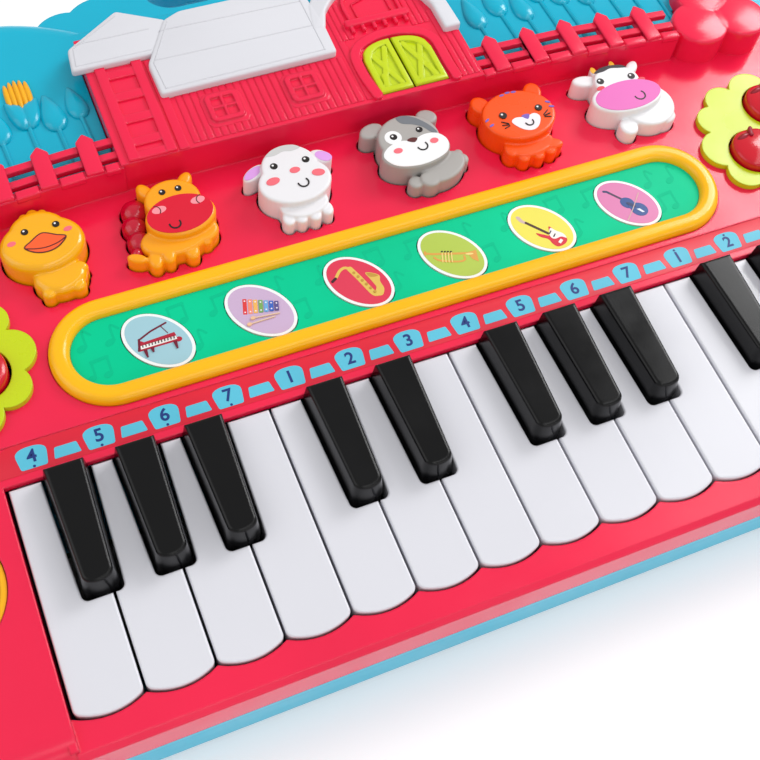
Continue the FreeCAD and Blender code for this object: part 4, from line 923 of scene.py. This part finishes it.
def barn_doors():
    """Two leaves with raised borders and sunk panels crossed by braces."""
    mesh = bmesh.new()
    middle, half, foot, shoulder, rise = 27.65, 12.9, 33.4, 49, 7.8

    def arch(x):
        """Height of the doorway's top at x."""
        share = min(1.0, abs(x - middle) / half)
        return shoulder + rise * (1 - share ** 2.6) ** (1 / 2.2)

    for side in (-1, 1):
        def leaf(near, far, low, drop):
            """Outline of one leaf from near to far of the middle, drop below the arch."""
            xs = [near + (far - near) * i / 12 for i in range(13)]
            top = [(middle + side * x,
                    arch(middle + x * (half / (half - max(0, half - far)))) - drop) for x in xs]
            return [(middle + side * far, low), (middle + side * near, low)] + top

        plate(mesh, leaf(0.35, half, foot, 0), DOOR_SEAT, DOOR_TOP - 0.9, 0.2, 2)
        outer, inner = leaf(0.35, half, foot, 0), leaf(2.7, half - 2.5, foot + 2.4, 2.6)
        border = [ring_at(mesh, outer, DOOR_SEAT + 0.2)]
        for shift, height in ((0, DOOR_TOP - 0.7), (0.25, DOOR_TOP - 0.2), (0.75, DOOR_TOP)):
            border.append(ring_at(mesh, leaf(0.35 + shift, half - shift, foot + shift, shift), height))
        for shift, height in ((0.6, DOOR_TOP), (0.15, DOOR_TOP - 0.2), (0, DOOR_TOP - 1.2)):
            border.append(ring_at(mesh, leaf(2.7 - shift, half - 2.5 + shift, foot + 2.4 - shift,
                                             2.6 - shift), height))
        border.append(ring_at(mesh, inner, DOOR_SEAT + 0.2))
        for one, two in zip(border, border[1:] + border[:1]):
            bridge(mesh, one, two)
        x_near, x_far, y_low, y_high = 3.6, half - 3.4, foot + 3, shoulder + 2.6
        for path in ([(x_near, y_low), (x_far, y_high)], [(x_near, y_high + 1.4), (x_far, y_low)],
                     [(x_far - 0.6, y_low), (x_far - 0.8, y_low + 4.4)]):
            stroke(mesh, [(middle + side * x, y) for x, y in path], 2.1, DOOR_SEAT + 0.2, DOOR_TOP - 0.4,
                   crown=0.2)
    doors = piece("door_leaves", mesh, [LIME], CASE)
    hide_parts("barn_doors")


# ---------------- fence
BARN_SIDE = {-1: 77.5, 1: 53.5}
FENCE_END, FENCE_NEAR, FENCE_FRONT, FENCE_DROP = 132, 54, 31, 4
PICKETS = {-1: [86, 101, 115.5, 129], 1: [61.5, 76.5, 91.5, 106.5, 121.5]}
PICKET_HALF = 2.9


def fence_y(x, straight=FENCE_FRONT):
    """A line along the fence, which curves gently towards the player from a straight start."""
    return straight - FENCE_DROP * ((abs(x) - FENCE_NEAR) / (FENCE_END - FENCE_NEAR)) ** 2


def fences():
    mesh = bmesh.new()
    for side in (-1, 1):
        stops = PICKETS[side]
        for x in stops:
            y = fence_y(x)
            shape = [(-PICKET_HALF, y + 0.2), (PICKET_HALF, y + 0.2), (PICKET_HALF, y + 14.2), (0, y + 17.2),
                     (-PICKET_HALF, y + 14.2)]
            block(mesh, at(shape, side * x, 0), 0.7, BARN_TOP - 1.4, BARN_TOP + 0.35, 0.45)
        edges = [BARN_SIDE[side]] + [x + s * PICKET_HALF for x in stops for s in (-1, 1)] + [FENCE_END]
        for start, stop in zip(edges[::2], edges[1::2]):
            ends = [start + 0.5, (start + stop) / 2, stop - 0.5]
            if ends[2] - ends[0] < 1:
                continue
            foot = [(side * x, fence_y(x) - 0.5) for x in ends]
            foot += [(side * x, fence_y(x) + 2.8) for x in ends[::-1]]
            block(mesh, foot, 0.3, BARN_TOP - 2.6, BARN_TOP - 0.3, 0.5)
    piece("fence_pickets", mesh, [RED], CASE)


BUSHES = [(144, 31.9, 10.8), (160.8, 30.6, 10.4), (151.5, 45, 10.6)]
BUSH_TOP = 47.1


def bushes():
    """Low round shrubs at both ends of the fence, with a soft upper edge and a barely domed top."""
    mesh = bmesh.new()
    for side in (-1, 1):
        for i, (x, y, radius) in enumerate(BUSHES):
            rings, top = [], BUSH_TOP + 0.05 * i
            profile = [(1, DECK - 0.5), (1, top - 2.3)]
            for k in range(1, 5):
                turn = math.pi / 2 * k / 4
                profile.append((1 - 0.08 * (1 - math.cos(turn)), top - 0.9 - 1.4 * (1 - math.sin(turn))))
            for reach in (0.8, 0.65, 0.5, 0.35, 0.2, 0.08):
                profile.append((reach, top - 0.9 * (reach / 0.92) ** 2))
            for reach, height in profile:
                rings.append(ring_at(mesh, oval(x * side, y, radius * reach, radius * reach * 0.96, count=48),
                                     height))
            stack(mesh, rings)
    piece("bushes", mesh, [RED], CASE)


# ---------------- crops on the field
FIELD_TOP = 41.0
FIELD_BASE = FIELD_TOP - 0.3
BUD = [(-0.6, 18), (2.2, 13.5), (4, 8.4), (4.3, 4), (2.5, 0.8), (0, 0), (-2.5, 0.8), (-4.3, 4), (-4.2, 8.4),
       (-2.8, 13.5)]
CORN_X, CORN_Y = -100.6, 60.5
STEM_FOOT = 41


def crops():
    mesh = bmesh.new()
    left = [(-83, 60), (-91.6, 57), (-110.4, 56.6), (-119.6, 60.6), (-129, 57.5), (-138, 61.5), (-147.5, 58)]
    right = [(66, 57.4), (76, 61), (85, 56), (93.4, 63.4), (101.6, 59.5), (111.5, 56.5), (120, 62),
             (129, 58.4), (138, 62), (147.5, 59)]
    for x, y in left + right:
        size = 0.92 + 0.08 * math.sin(x)
        mound(mesh, at(spline(BUD, steps=4), x, y, 3 * math.sin(x * 2.1), size), FIELD_BASE, FIELD_TOP + 1.9,
              wall=0.3, steps=5, middle=(x, y + 5 * size))
    for x, y in left + right + [(CORN_X, CORN_Y)]:
        foot = fence_y(x, STEM_FOOT)
        stroke(mesh, [(x, y + 0.6), (x + 0.5, (y + foot) / 2), (x + 0.2, foot)], 1.5, FIELD_BASE,
               FIELD_TOP + 0.4, crown=0.45)
    husk = [(-5.6, 13.2), (-3.4, 12.2), (-1.6, 11.8), (0.4, 9.4), (1, 4), (-0.6, 0.2), (-3.4, 1.4), (-5.2, 6)]
    for side in (1, -1):
        leaf = [(u * side, v) for u, v in husk]
        mound(mesh, at(spline(leaf, steps=4), CORN_X, CORN_Y), FIELD_BASE, FIELD_TOP + 2.2 + 0.2 * side,
              wall=0.4, steps=5, middle=(CORN_X - 2.2 * side, CORN_Y + 5))
    piece("crop_relief", mesh, [BLUE], CASE, sharp=50)
    mesh = bmesh.new()
    # thin raised scrolls on the outer hills
    for side in (-1, 1):
        for x, y, radius in ((-112, 84, 5), (-120, 90, 7), (-131, 84, 6), (-139, 90, 5.4), (-148, 80, 5)):
            band(mesh, oval(x * side, y, radius, radius * 0.86, 0), 0.7, FIELD_BASE, FIELD_TOP + 0.35)
    piece("field_scrolls", mesh, [BLUE], CASE, sharp=50)
    mesh = bmesh.new()
    for i in range(5):
        lift = (i - 2) / 2.6
        mound(mesh, oval(CORN_X + (i - 2) * 1.75, CORN_Y + 15.4, 7.4 * math.sqrt(1 - lift * lift * 0.5), 1.1,
                         90, count=24), FIELD_BASE, FIELD_TOP + 1.9 - 0.3 * abs(i - 2), wall=0.3, steps=5)
    piece("corn_cob", mesh, [AMBER], CASE)


# ---------------- floor, light and camera
# Places in this section are in metres; each light is (name, watts, width, depth, place).
LIGHTS = (("key_light", 7.5, 0.5, 0.5, (0.95, 0.4, 0.8)),
          ("fill_light", 2.4, 0.9, 0.9, (-0.9, 0.1, 0.8)),
          ("front_light", 2.2, 1.6, 0.3, (0.35, -1.25, 0.6)),
          ("edge_light", 3.2, 1.8, 0.25, (0.35, -0.3, 1.15)))
LIGHT_AIM = Vector((0, 0, 0.03))
CAMERA_PLACE = Vector((-0.12171, -0.22038, 0.35796))
CAMERA_RIGHT = Vector((0.92007, -0.38073, 0.09230))
CAMERA_UP = Vector((0.29203, 0.82359, 0.48624))


def stage_and_camera():
    data = bpy.data.meshes.new("floor")
    size = 4.0
    data.from_pydata([(-size, -size, 0), (size, -size, 0), (size, size, 0), (-size, size, 0)], [],
                     [(0, 1, 2, 3)])
    floor = bpy.data.objects.new("floor", data)
    bpy.context.scene.collection.objects.link(floor)
    paper = Nodes("floor_paper")
    paper.feed("Base Color", paper.tones(paper.noise(6), (0.3, linear(240, 240, 242)),
                                         (0.7, linear(244, 244, 245))))
    paper.fixed(Roughness=0.7, Emission_Color=(1, 1, 1, 1), Emission_Strength=0.16)
    data.materials.append(paper.material)

    world = bpy.data.worlds.new("studio")
    world.use_nodes = True
    world.node_tree.nodes["Background"].inputs["Color"].default_value = (1, 1, 1, 1)
    world.node_tree.nodes["Background"].inputs["Strength"].default_value = 0.6
    bpy.context.scene.world = world
    bpy.context.scene.view_settings.view_transform = "Standard"

    for name, power, wide, deep, place in LIGHTS:
        light = bpy.data.lights.new(name, "AREA")
        light.energy = power
        light.shape = "RECTANGLE"
        light.size, light.size_y = wide, deep
        lamp = bpy.data.objects.new(name, light)
        lamp.location = place
        lamp.rotation_euler = (LIGHT_AIM - Vector(place)).to_track_quat("-Z", "Y").to_euler()
        bpy.context.scene.collection.objects.link(lamp)

    camera = bpy.data.objects.new("camera", bpy.data.cameras.new("camera"))
    camera.data.lens = 56.65
    camera.data.sensor_width = 36
    back = CAMERA_RIGHT.cross(CAMERA_UP)
    turn = Matrix((CAMERA_RIGHT, CAMERA_UP, back)).transposed().to_4x4()
    turn.translation = CAMERA_PLACE
    camera.matrix_world = turn
    bpy.context.scene.collection.objects.link(camera)
    bpy.context.scene.camera = camera


animal_buttons()
apple_buttons()
instrument_pads()
music_notes()
label_strip()
roof()
barn_planks()
barn_details()
barn_doors()
fences()
bushes()
crops()
stage_and_camera()
